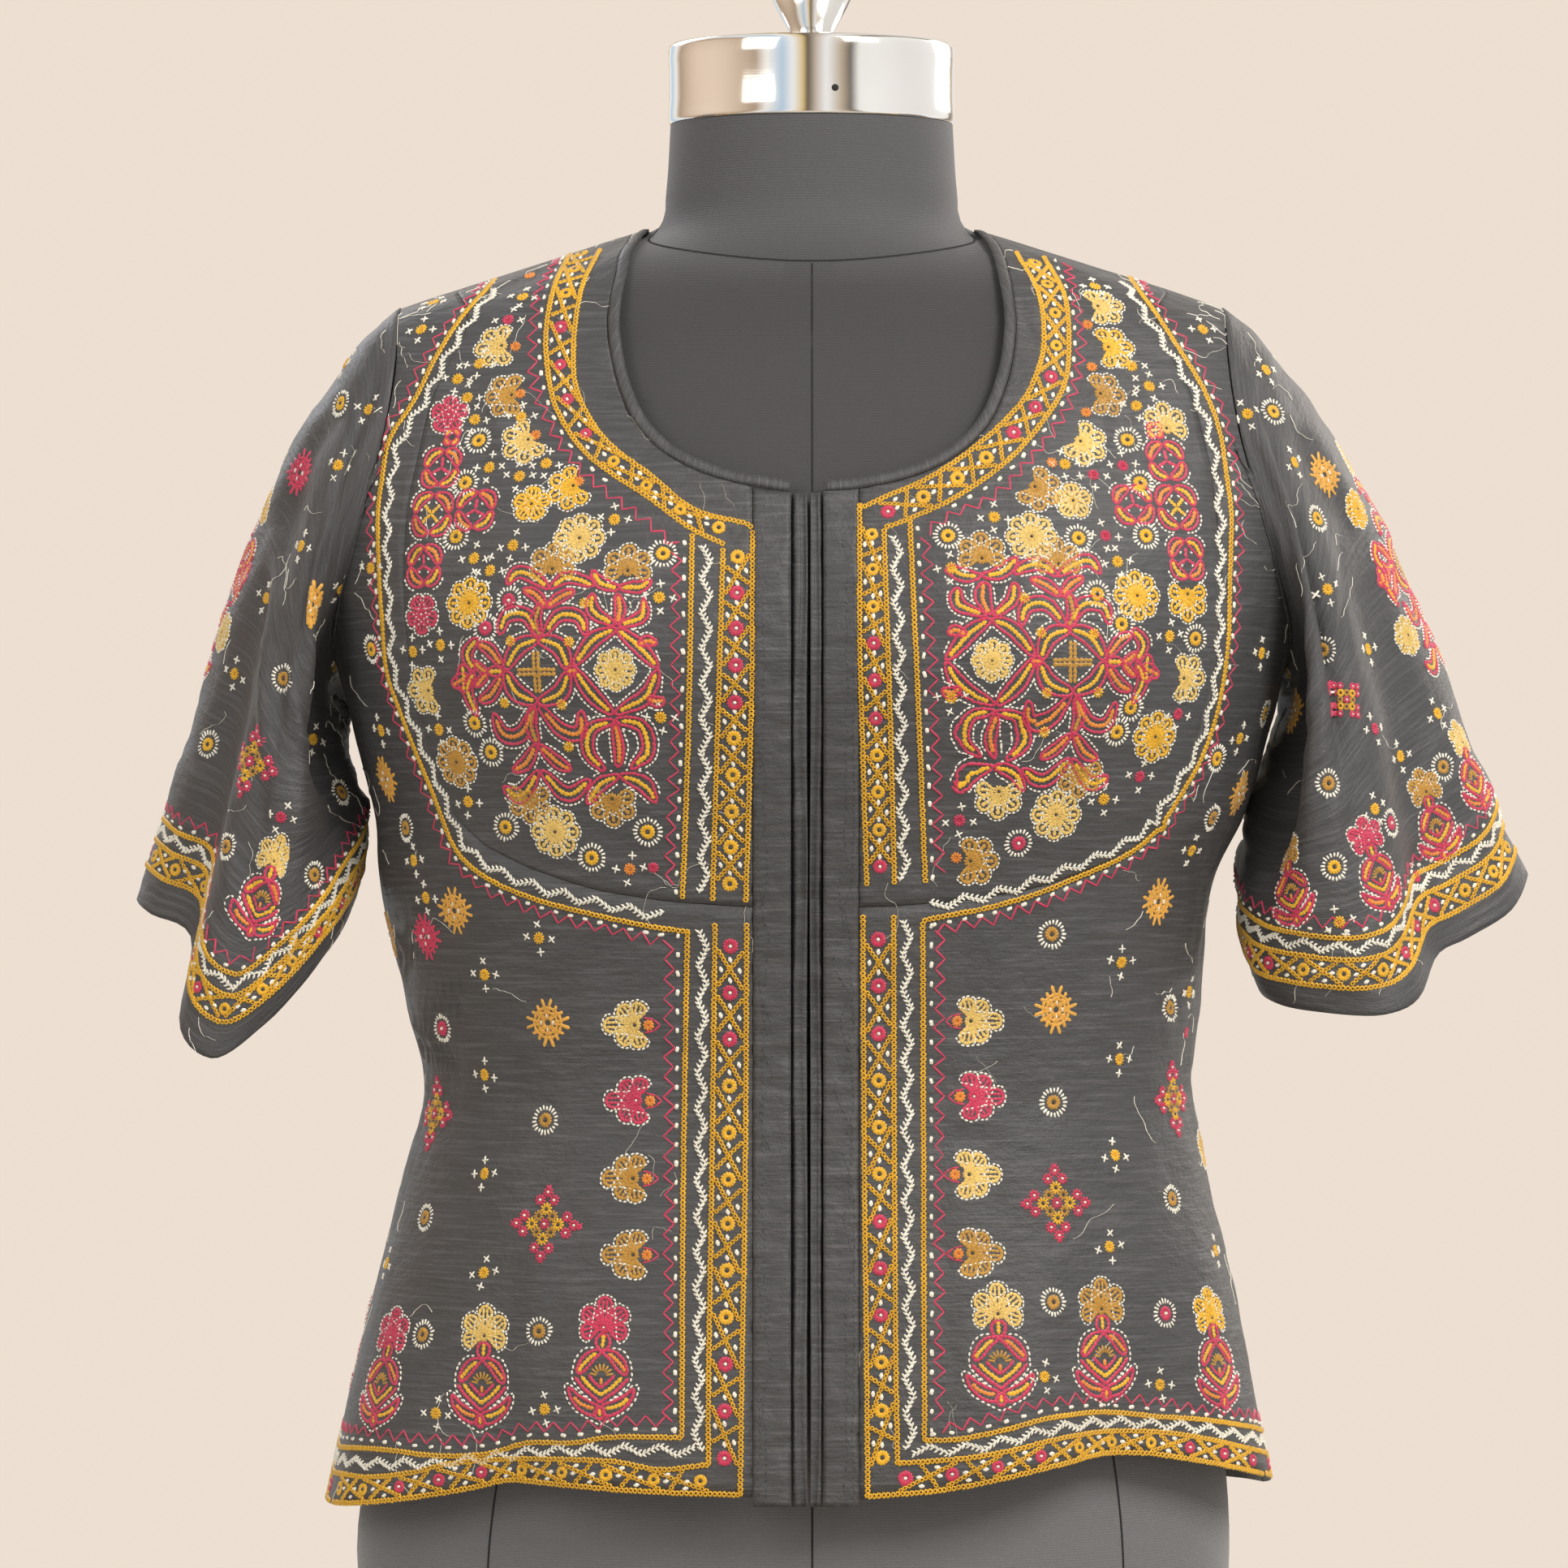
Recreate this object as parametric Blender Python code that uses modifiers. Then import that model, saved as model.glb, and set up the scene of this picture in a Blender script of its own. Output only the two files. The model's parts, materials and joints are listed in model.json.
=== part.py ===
"""An embroidered choli blouse with open front and elbow sleeves, worn by a limbless dress form.

Metres, +Z up. The front faces -Y and the wearer's right is at -X. The origin is the middle of the
form's flat base. The cloth pieces are thin walls on one blouse surface, which is a stack of rounded
sections, so every seam runs on that surface. Tables are in millimetres and degrees.
"""

import math

import bmesh
import bpy
import numpy as np
from mathutils import Vector

MM = 0.001

# Cloth and seams
CLOTH_THICK = 1.2 * MM
BAND_THICK = 1.7 * MM
FACING_THICK = 1.4 * MM
SEAM_HALF_GAP = 0.26 * MM
BINDING_GAP = 1.2 * MM
SLEEVE_SEAM_GAP = 1.5 * MM
SLEEVE_LAP = 1.6 * MM

# Front opening and neck: the distances from the middle differ a little from side to side
FRONT_EDGE = {-1: 25.0 * MM, 1: 19.5 * MM}
BAND_INNER_EDGE = {-1: 9.0 * MM, 1: 4.5 * MM}
FACING_INNER_EDGE = {-1: 2.6 * MM, 1: -0.6 * MM}
BAND_RAISE = 0.5 * MM
FACING_SETBACK = 0.5 * MM
BAND_BOTTOM = 111.0 * MM
BINDING_WIDTH = 5.0 * MM
NECK_POINT = 70.0 * MM
BACK_NECK_HEIGHT = 634.0 * MM

# Bust
BUST_X = 98.0 * MM
BUST_HEIGHT = 468.0 * MM
BUST_SPREAD = 46.0 * MM
BUST_LIFT = 9.0 * MM
FORM_BUST_LIFT = 9.0 * MM

# Sleeve
UNDERARM_HEIGHT = 462.0 * MM

# Dress form
BASE_THICK = 10.0 * MM
BASE_INSET = 3.0 * MM
NECK_SEAM_HEIGHT = 650.0 * MM
NECK_SEAM_TILT = 18.0 * MM
FLAT_RINGS_TOP = 600.0 * MM
NECK_TOP = 694.5 * MM
FORM_GAP = 0.4 * MM
CAP_RADIUS = 61.6 * MM
CAP_BOTTOM = 694.8 * MM
CAP_HEIGHT = 35.0 * MM
CAP_EDGE = 2.5 * MM

# Mesh counts
ARMHOLE_STEPS = 12
SIDE_STEPS = 8
SIDE_ROWS = ARMHOLE_STEPS + SIDE_STEPS
CUP_FOOT_STEPS = 13
SHOULDER_STEPS = 4
NECK_BACK_STEPS = 14
FRONT_ACROSS = 8
BAND_STEPS = 20
BINDING_STEPS = 48
SLEEVE_AROUND = 32
SLEEVE_ALONG = 10
FORM_AROUND = 28
FORM_FLAT_RINGS = 15
FORM_TOP_RINGS = 8

SECTION = [
    ("height", float), ("right", float), ("left", float), ("front", float), ("back", float),
    ("power", float),
]

# The blouse, hem to neck: half widths to the wearer's right and left, depths and roundness.
# Between underarm and shoulder the half widths run on past the armhole.
BLOUSE = np.array([
    (100, 209, 197, 134, 141, 2.30),
    (150, 198.5, 188.5, 131, 134, 2.30),
    (200, 186.5, 180, 125, 121, 2.30),
    (245, 175, 170, 118, 107, 2.30),
    (283, 166.5, 163.5, 114, 98, 2.30),
    (310, 173, 166.5, 114, 97, 2.30),
    (340, 179, 169, 116, 96, 2.30),
    (370, 186, 173, 119, 98, 2.30),
    (400, 188.5, 187, 123, 102, 2.30),
    (430, 196, 196, 127, 106, 2.30),
    (462, 204.3, 204.3, 130, 110, 2.30),
    (490, 212, 212, 127, 112, 2.25),
    (520, 217, 217, 119, 112, 2.20),
    (550, 218, 218, 108, 108, 2.10),
    (580, 213, 213, 94, 101, 2.05),
    (600, 202, 202, 84, 94, 2.00),
    (612, 186, 186, 78, 89, 2.00),
    (621, 161, 161, 74, 84, 2.00),
    (630, 132, 132, 69, 78, 2.00),
    (640, 100, 100, 65, 73, 2.00),
    (649, 71.5, 71.5, 62, 67, 2.00),
    (655, 52, 52, 60, 63, 2.00),
], dtype=SECTION)

# The dress form, base to the top of its neck.
FORM = np.array([
    (0, 177, 163, 99, 116, 2.20),
    (40, 190, 176, 106, 126, 2.20),
    (80, 196, 180, 108, 130, 2.20),
    (120, 191, 178, 107, 128, 2.20),
    (160, 180, 171, 103, 118, 2.20),
    (200, 161, 158, 97, 105, 2.20),
    (240, 142, 140, 90, 91, 2.20),
    (280, 130, 130, 87, 82, 2.20),
    (320, 132, 132, 91, 80, 2.20),
    (370, 142, 142, 101, 85, 2.20),
    (400, 148, 148, 108, 90, 2.20),
    (430, 154, 154, 115, 97, 2.20),
    (462, 161, 161, 120, 103, 2.20),
    (490, 168, 168, 118, 107, 2.20),
    (520, 173, 173, 112, 107, 2.20),
    (550, 175, 175, 102, 103, 2.15),
    (580, 175, 175, 89, 96, 2.10),
    (600, 171, 171, 79, 88, 2.05),
    (612.5, 166, 166, 74.5, 83.5, 2.00),
    (619.7, 152, 152, 71, 80, 2.00),
    (628.7, 128, 128, 67, 75, 2.00),
    (638.7, 95, 95, 63, 70, 2.00),
    (647, 69.2, 69.2, 60, 64.5, 2.00),
    (653, 64.5, 64.5, 58.5, 61, 2.00),
    (665, 62.8, 62.8, 58.5, 60, 2.00),
    (694.5, 60.8, 60.8, 60.8, 60.8, 2.00),
], dtype=SECTION)

# Hem height round the blouse: 0 is the centre front, +90 the side at +X.
HEM = np.array([
    (-180, 112), (-150, 110), (-120, 108), (-95, 108), (-80, 104.5), (-68, 107), (-58, 113),
    (-50, 119), (-40, 118), (-25, 116), (-11, 115), (0, 114.5), (11, 114.5), (25, 118),
    (40, 126), (53, 130), (64, 125), (75, 117), (88, 111), (110, 108), (150, 110), (180, 112),
], dtype=[("angle", float), ("height", float)])

# Soft folds of the body: they are full at the hem and die out at the top height.
BODY_FOLDS = np.array([
    (-72, 9, 6.0, 250),
    (-53, 8, -6.0, 230),
    (-30, 12, 3.0, 260),
    (34, 12, 4.0, 240),
    (53, 10, -8.0, 260),
    (76, 9, 6.0, 240),
    (112, 10, -5.0, 250),
    (140, 12, 4.0, 260),
    (-115, 11, -5.0, 240),
    (-146, 12, 4.0, 270),
], dtype=[("angle", float), ("width", float), ("depth", float), ("top", float)])

# Front neckline from the shoulder to the centre front: distance from the middle, and height.
NECKLINE = [
    (71.5, 647), (75.5, 640), (79.5, 622.5), (81, 603), (77, 581), (69, 563.5), (54, 550),
    (34, 542), (19, 539),
]

# Seam between the cup and the rest of the front, from the shoulder to the front opening.
CUP_SEAM = [
    (147, 604), (160, 576), (168.5, 541), (172, 509), (170.5, 475), (166, 440), (159, 413),
    (149, 396), (137, 385), (119, 376), (95, 368), (68, 363), (40, 360.5),
]
CUP_FOOT_HEIGHT = 359.5 * MM
CUP_SHOULDER_X = 139.0 * MM
CUP_FOOT_CORNER = 8

# Distance of the armhole seam from the middle.
ARMHOLE = np.array([
    (462, 204.3), (475, 203), (500, 197), (530, 188.5), (560, 181), (590, 177), (616, 176.5),
], dtype=[("height", float), ("out", float)])

# Cuff rings: angle round the sleeve (0 outer, 90 front, 180 inner, 270 back), then the place.
CUFF = [("angle", float), ("out", float), ("y", float), ("height", float)]
CUFFS = {
    -1: np.array([
        (0, 292, 10, 361), (22, 284, -10, 355), (42, 266, -24, 345), (62, 269, -52, 309),
        (82, 255, -66, 295), (108, 232, -63, 309), (138, 206, -42, 339), (168, 198, -8, 357),
        (200, 203, 28, 362), (236, 221, 54, 358), (272, 249, 60, 356), (310, 275, 48, 358),
        (338, 289, 30, 361),
    ], dtype=CUFF),
    1: np.array([
        (0, 309, 8, 371), (20, 300, -12, 356), (38, 281, -24, 345), (54, 267, -36, 338),
        (70, 258, -58, 321), (90, 242, -70, 313.5), (114, 214, -66, 314.5), (140, 194, -47, 319),
        (162, 190, -20, 327), (190, 194, 14, 338), (218, 210, 42, 346), (252, 238, 58, 353),
        (292, 271, 57, 359), (328, 299, 34, 366),
    ], dtype=CUFF),
}

# How the sleeve leaves the armhole and reaches the cuff: directions (out, y, up) and reaches.
SLEEVE_START = np.array([
    (0, 0.82, 0.00, -0.57, 235), (90, 0.80, -0.10, -0.60, 170), (180, 0.42, -0.02, -0.91, 110),
    (270, 0.80, 0.12, -0.59, 170), (360, 0.82, 0.00, -0.57, 235),
], dtype=[("angle", float), ("out", float), ("y", float), ("up", float), ("reach", float)])
SLEEVE_END = {-1: (0.36, 0.0, -0.93), 1: (0.42, 0.0, -0.91)}
SLEEVE_END_REACH = 190.0 * MM

# Sleeve folds: angle and half width round the sleeve, depth, place and half length along it.
FOLD = [("angle", float), ("width", float), ("depth", float), ("along", float), ("length", float)]
SLEEVE_FOLDS = {
    -1: np.array([
        (142, 17, -15, 0.40, 0.26), (112, 12, 5, 0.45, 0.25), (84, 10, -4, 0.62, 0.22),
        (300, 14, -6, 0.60, 0.25),
    ], dtype=FOLD),
    1: np.array([
        (138, 18, -19, 0.42, 0.27), (106, 11, 6, 0.44, 0.22), (86, 9, -6, 0.40, 0.20),
        (60, 10, 4, 0.62, 0.25), (300, 14, -6, 0.60, 0.25),
    ], dtype=FOLD),
}

# Finial profile, top to bottom: radius and height.
FINIAL = [
    (0.0, 785.5), (5.0, 785.0), (9.5, 783.0), (14.0, 778.5), (18.0, 772.0), (20.0, 764.5),
    (19.4, 756.5), (17.2, 749.0), (14.0, 742.5), (10.8, 737.0), (9.6, 734.0), (10.0, 732.6),
    (15.0, 731.6), (15.5, 730.1), (0.0, 730.1),
]

BODY_MIDDLE = (0.0, 0.0, 350.0 * MM)
SIDE_RADIUS = 180.0 * MM
SIDE_NAMES = {
    (piece, side): f"{piece}_{word}"
    for piece in ("cup", "front", "band", "facing", "sleeve")
    for side, word in ((-1, "right"), (1, "left"))
}

COLOURS = {
    "silk": ("#2b2b2d", 0.62, 0.0),
    "jersey": ("#3a3b3e", 0.85, 0.0),
    "chrome": ("#d9d7d2", 0.12, 1.0),
    "board": ("#1e1d1c", 0.60, 0.0),
}


def smooth(xs, ys, at):
    """A smooth curve through the points of a table, read at one or many places."""
    xs, ys, at = np.asarray(xs, float), np.asarray(ys, float), np.asarray(at, float)
    slopes = np.gradient(ys, xs)
    i = np.clip(np.searchsorted(xs, at) - 1, 0, len(xs) - 2)
    step = xs[i + 1] - xs[i]
    t = np.clip((at - xs[i]) / step, 0, 1)
    start = (1 + 2 * t) * (1 - t) ** 2 * ys[i] + t * (1 - t) ** 2 * step * slopes[i]
    end = t * t * (3 - 2 * t) * ys[i + 1] - t * t * (1 - t) * step * slopes[i + 1]
    return start + end


def smooth_ring(angles, ys, at):
    """Like smooth(), for a table of degrees that closes on itself."""
    angles, ys = np.asarray(angles, float), np.asarray(ys, float)
    wide = np.concatenate([angles - 360, angles, angles + 360])
    return smooth(wide, np.tile(ys, 3), at)


def ramp(t):
    t = np.clip(t, 0, 1)
    return t * t * (3 - 2 * t)


def turn_between(a, b):
    """The shortest way from angle b to angle a, in degrees."""
    return (a - b + 180) % 360 - 180


def unit(v):
    return v / np.linalg.norm(v, axis=-1, keepdims=True)


def section(table, across, ahead, z):
    """Half width, depth and power of a section in the quarter given by two signs."""
    row = {name: smooth(table["height"] * MM, table[name], z) for name, _ in SECTION[1:]}
    half = np.where(across > 0, row["left"], row["right"]) * MM
    depth = np.where(ahead > 0, row["front"], row["back"]) * MM
    return half, depth, row["power"]


def section_radius(table, theta, z):
    """Distance from the upright axis to the section's outline, in direction theta."""
    across, ahead = np.sin(theta), np.cos(theta)
    half, depth, power = section(table, across, ahead, z)
    share = (np.abs(across) / half) ** power + (np.abs(ahead) / depth) ** power
    return share ** (-1 / power)


def body_point(table, theta, z, extra, lift):
    theta, z = np.broadcast_arrays(np.asarray(theta, float), np.asarray(z, float))
    radius = section_radius(table, theta, z) + extra
    x, ahead = radius * np.sin(theta), np.cos(theta)
    off_axis = (np.abs(x) - BUST_X) ** 2 + (z - BUST_HEIGHT) ** 2
    bust = lift * np.exp(-off_axis / (2 * BUST_SPREAD**2)) * np.clip(3 * ahead, 0, 1)
    return np.stack([x, -radius * ahead - bust, z], axis=-1)


def fold_depth(theta, z):
    total = 0.0
    low = HEM["height"].min() * MM
    for fold in BODY_FOLDS:
        beside = turn_between(np.degrees(theta), fold["angle"]) / fold["width"]
        fade = ramp((fold["top"] * MM - z) / (fold["top"] * MM - low))
        total = total + fold["depth"] * MM * np.exp(-(beside**2)) * fade
    return total


def blouse_point(theta, z):
    """The outer face of the blouse's body. theta is 0 at the front and +90 degrees at +X."""
    return body_point(BLOUSE, theta, z, fold_depth(theta, z), BUST_LIFT)


def blouse_normal(theta, z):
    step = 1e-4
    along_u = blouse_point(theta + step, z) - blouse_point(theta - step, z)
    along_v = blouse_point(theta, z + step) - blouse_point(theta, z - step)
    return unit(np.cross(along_u, along_v))


def theta_at(x, z, ahead=1):
    """The angle of the place of a section that lies at x, in front or behind."""
    x = np.asarray(x, float)
    half, depth, power = section(BLOUSE, x, np.full_like(x, ahead), z)
    share = np.clip(np.abs(x) / half, 0, 1)
    return np.arctan2(x, ahead * depth * (1 - share**power) ** (1 / power))


def ridge_height(x):
    """Height of the shoulder seam at a distance from the middle."""
    heights = np.linspace(600, 655, 300) * MM
    halves = smooth(BLOUSE["height"] * MM, BLOUSE["left"] * MM, heights)
    return np.interp(-np.abs(x), -halves, heights)


def hem_height(theta):
    return smooth_ring(HEM["angle"][1:], HEM["height"][1:] * MM, turn_between(np.degrees(theta), 0))


def resampled(curve, steps):
    """A (theta, z) polyline cut into steps of equal length on the blouse."""
    lengths = np.linalg.norm(np.diff(blouse_point(curve[:, 0], curve[:, 1]), axis=0), axis=1)
    along = np.concatenate([[0], np.cumsum(lengths)])
    at = np.linspace(0, along[-1], steps + 1)
    return np.stack([np.interp(at, along, curve[:, k]) for k in (0, 1)], axis=1)


def dense(points, n=160):
    """Many places on a smooth curve through a few."""
    points = np.asarray(points, float)
    gaps = np.diff(points, axis=0) * (0.17, 1.0)
    along = np.concatenate([[0], np.cumsum(np.linalg.norm(gaps, axis=1))])
    at = np.linspace(0, along[-1], n)
    return np.stack([smooth(along, points[:, k], at) for k in (0, 1)], axis=1)


def moved(curve, distance):
    """A (theta, z) polyline moved sideways on the blouse, to the left of its own direction."""
    here = blouse_point(curve[:, 0], curve[:, 1])
    out = blouse_normal(curve[:, 0], curve[:, 1])
    return nearest(curve, here + distance * np.cross(out, unit(np.gradient(here, axis=0))))


def nearest(curve, target):
    """The (theta, z) places of the blouse that lie nearest to target points."""
    u, v = curve[:, 0].copy(), curve[:, 1].copy()
    step = 1e-5
    for _ in range(4):
        here = blouse_point(u, v)
        du = (blouse_point(u + step, v) - here) / step
        dv = (blouse_point(u, v + step) - here) / step
        off = target - here
        a, b, c = (du * du).sum(1), (du * dv).sum(1), (dv * dv).sum(1)
        p, q = (du * off).sum(1), (dv * off).sum(1)
        u = u + (c * p - b * q) / (a * c - b * b)
        v = v + (a * q - b * p) / (a * c - b * b)
    return np.stack([u, v], axis=1)


def armhole(angle, side):
    """(theta, z) of the armhole seam: angle 0 is the shoulder, 90 the front, 180 the underarm."""
    angle = np.asarray(angle, float)
    top = ridge_height(ARMHOLE["out"][-1] * MM)
    middle, half = (top + UNDERARM_HEIGHT) / 2, (top - UNDERARM_HEIGHT) / 2
    z = middle + half * np.cos(np.radians(angle))
    x = smooth(ARMHOLE["height"] * MM, ARMHOLE["out"] * MM, z) * side
    ahead = np.where(angle <= 180, 1, -1)
    theta = theta_at(x, z, ahead)
    theta = np.where(angle % 180 < 1e-6, math.pi / 2 * side, theta)
    return np.stack([theta, z], axis=-1)


def from_front(points, side):
    """(theta, z) rows of points given as distance from the middle and height."""
    rows = np.array(points, float)
    return np.stack([theta_at(rows[:, 0] * side, rows[:, 1]), rows[:, 1]], axis=1)


def shoulder_seam(x_from, x_to, side, turn=-1):
    """Just before (turn -1) or behind (turn +1) the shoulder ridge."""
    x = np.linspace(x_from, x_to, 40)
    return np.stack([(math.pi / 2 + turn * SEAM_HALF_GAP / x) * side, ridge_height(x)], axis=1)


def neckline_front(side):
    """From the shoulder ridge down to the band's inner edge."""
    start = np.array([[math.pi / 2 * side, ridge_height(NECK_POINT)]])
    rows = np.array(NECKLINE) * MM
    end = (BAND_INNER_EDGE[side], rows[-1, 1] - 1.5 * MM)
    return dense(np.concatenate([start, from_front([*rows, end], side)]))


def neckline():
    """The whole neckline, from the front opening at +X round the back to the one at -X."""
    first, last = neckline_front(1)[::-1], neckline_front(-1)
    turn = np.linspace(0, math.pi, 90)[1:-1]
    top = ridge_height(NECK_POINT)
    dip = (top - BACK_NECK_HEIGHT) * np.sin(turn) ** 2
    behind = np.stack([math.pi / 2 + turn, top - dip], axis=1)
    last[:, 0] += 2 * math.pi
    return np.concatenate([first, behind, last])


def panel_neck_edge(low, high):
    """The panels' edge below the neck binding, between two angles."""
    edge = moved(neckline(), -(BINDING_WIDTH + BINDING_GAP))
    inside = edge[(edge[:, 0] > low) & (edge[:, 0] < high)]
    ends = np.array([[a, np.interp(a, edge[:, 0], edge[:, 1])] for a in (low, high)])
    return np.concatenate([ends[:1], inside, ends[1:]])


def cup_seam(side):
    """The cup seam's places: down the outer side, then along the foot to the opening."""
    start = np.array([[math.pi / 2 * side, ridge_height(CUP_SHOULDER_X)]])
    table = [*(np.array(CUP_SEAM) * MM), (FRONT_EDGE[side], CUP_FOOT_HEIGHT)]
    rows = np.concatenate([start, from_front(table, side)])
    corner = CUP_FOOT_CORNER + 1
    outer = resampled(dense(rows[: corner + 1]), SIDE_ROWS)
    foot = resampled(dense(rows[corner:]), CUP_FOOT_STEPS)
    return np.concatenate([outer, foot[1:]])


def front_edge(side, x, z_from, z_to):
    """The upright line at distance x from the middle."""
    z = np.linspace(z_from, z_to, 60)
    return np.stack([theta_at(x * side, z), z], axis=1)


def patch_between(first, last, left, right):
    """Places between four edges: rows run from first to last, columns from left to right."""
    left, right = left.copy(), right.copy()
    left[0], left[-1], right[0], right[-1] = first[0], last[0], first[-1], last[-1]
    s = np.linspace(0, 1, len(first))[None, :, None]
    t = np.linspace(0, 1, len(left))[:, None, None]
    across = (1 - t) * first[None] + t * last[None]
    along = (1 - s) * left[:, None] + s * right[:, None]
    ends = (1 - t) * ((1 - s) * left[0] + s * right[0]) + t * ((1 - s) * left[-1] + s * right[-1])
    return across + along - ends


def with_narrow_first_row(patch):
    """One more row close to the first, so that the wall turns truly along the shoulder."""
    return np.insert(patch, 1, 0.85 * patch[0] + 0.15 * patch[1], axis=0)


def raised(patch, height):
    theta, z = patch[..., 0], patch[..., 1]
    return blouse_point(theta, z) + height * blouse_normal(theta, z)


def grid_mesh(points, wrap):
    """A mesh through a grid of points, closed on itself if it wraps."""
    rows, columns = points.shape[:2]
    bm = bmesh.new()
    bmesh.ops.create_grid(bm, x_segments=columns - 1, y_segments=rows - 1, size=0.5)
    for vert in bm.verts:
        column = round((vert.co.x + 0.5) * (columns - 1))
        row = round((vert.co.y + 0.5) * (rows - 1))
        vert.co = points[row, column]
    if wrap:
        bmesh.ops.remove_doubles(bm, verts=bm.verts, dist=0.01 * MM)
    return bm


def add_object(name, bm, material):
    mesh = bpy.data.meshes.new(name)
    bm.to_mesh(mesh)
    bm.free()
    mesh.shade_smooth()
    mesh.set_sharp_from_angle(angle=math.radians(40))
    mesh.materials.append(material)
    obj = bpy.data.objects.new(name, mesh)
    COLLECTION.objects.link(obj)
    return obj


def shell(name, points, thickness, material, wrap=False):
    """A cloth piece: an open surface through its outer points, with a wall inside it."""
    bm = grid_mesh(points, wrap)
    bm.normal_update()
    middle = Vector(points.reshape(-1, 3).mean(axis=0)) if wrap else Vector(BODY_MIDDLE)
    away = sum(f.normal.dot(f.calc_center_median() - middle) * f.calc_area() for f in bm.faces)
    if away < 0:
        bmesh.ops.reverse_faces(bm, faces=bm.faces)
    obj = add_object(name, bm, material)
    wall = obj.modifiers.new("wall", "SOLIDIFY")
    wall.thickness = thickness
    wall.offset = -1
    return obj


def solid(name, rings, material):
    """A closed body through rings of points, bottom to top."""
    bm = grid_mesh(np.concatenate([rings, rings[:, :1]], axis=1), wrap=True)
    bmesh.ops.holes_fill(bm, edges=[e for e in bm.edges if e.is_boundary], sides=0)
    bmesh.ops.triangulate(bm, faces=[f for f in bm.faces if len(f.verts) > 4])
    bmesh.ops.recalc_face_normals(bm, faces=bm.faces)
    return add_object(name, bm, material)


def make_material(name):
    code, roughness, metallic = COLOURS[name]
    srgb = [int(code[i : i + 2], 16) / 255 for i in (1, 3, 5)]
    linear = [c / 12.92 if c <= 0.04045 else ((c + 0.055) / 1.055) ** 2.4 for c in srgb]
    material = bpy.data.materials.new(name)
    material.use_nodes = True
    shader = material.node_tree.nodes["Principled BSDF"]
    shader.inputs["Base Color"].default_value = (*linear, 1)
    shader.inputs["Roughness"].default_value = roughness
    shader.inputs["Metallic"].default_value = metallic
    return material


def make_cup(side, silk):
    """The cup: from shoulder and neckline down to the seam under the bust."""
    seam = moved(cup_seam(side), -side * SEAM_HALF_GAP)
    outer, foot = seam[: SIDE_ROWS + 1], seam[SIDE_ROWS:][::-1]
    x = FRONT_EDGE[side]
    ridge = math.pi / 2 - SEAM_HALF_GAP / NECK_POINT
    angle = abs(theta_at(x * side, NECKLINE[-1][1] * MM))
    if side > 0:
        neck = panel_neck_edge(angle, ridge)[::-1]
    else:
        neck = panel_neck_edge(2 * math.pi - ridge, 2 * math.pi - angle) - (2 * math.pi, 0)
    upper_rows = SIDE_ROWS // 2
    upper = resampled(neck, upper_rows)
    lower = resampled(front_edge(side, x, neck[-1, 1], foot[0, 1]), SIDE_ROWS - upper_rows)
    inner = np.concatenate([upper, lower[1:]])
    neck_x = abs(blouse_point(*neck[0])[0])
    shoulder_x = CUP_SHOULDER_X - SEAM_HALF_GAP
    top = resampled(shoulder_seam(neck_x, shoulder_x, side), CUP_FOOT_STEPS)
    patch = with_narrow_first_row(patch_between(top, foot, inner, outer))
    shell(SIDE_NAMES["cup", side], raised(patch, 0), CLOTH_THICK, silk)


def make_front(side, silk):
    """The front outside the cup: shoulder strip, side and skirt, in one cut."""
    seam = moved(cup_seam(side), side * SEAM_HALF_GAP)
    arm = armhole(np.linspace(0, 180, ARMHOLE_STEPS + 1), side)
    seam_angle = (math.pi / 2 - SEAM_HALF_GAP / SIDE_RADIUS) * side
    side_z = np.linspace(UNDERARM_HEIGHT, hem_height(seam_angle), SIDE_STEPS + 1)
    down = np.stack([np.full_like(side_z, seam_angle), side_z], axis=1)
    x = FRONT_EDGE[side]
    angles = np.linspace(seam_angle, theta_at(x * side, hem_height(0.2 * side)), 80)
    hem = resampled(np.stack([angles, hem_height(angles)], axis=1), CUP_FOOT_STEPS)
    outer = np.concatenate([arm, down[1:], hem[1:]])
    outer[[0, ARMHOLE_STEPS], 0] = seam_angle
    shoulder = shoulder_seam(CUP_SHOULDER_X + SEAM_HALF_GAP, ARMHOLE["out"][-1] * MM, side)
    top = resampled(shoulder, FRONT_ACROSS)
    edge = resampled(front_edge(side, x, seam[-1, 1], hem[-1, 1]), FRONT_ACROSS)
    patch = with_narrow_first_row(patch_between(top, edge, seam, outer))
    shell(SIDE_NAMES["front", side], raised(patch, 0), CLOTH_THICK, silk)


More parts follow.
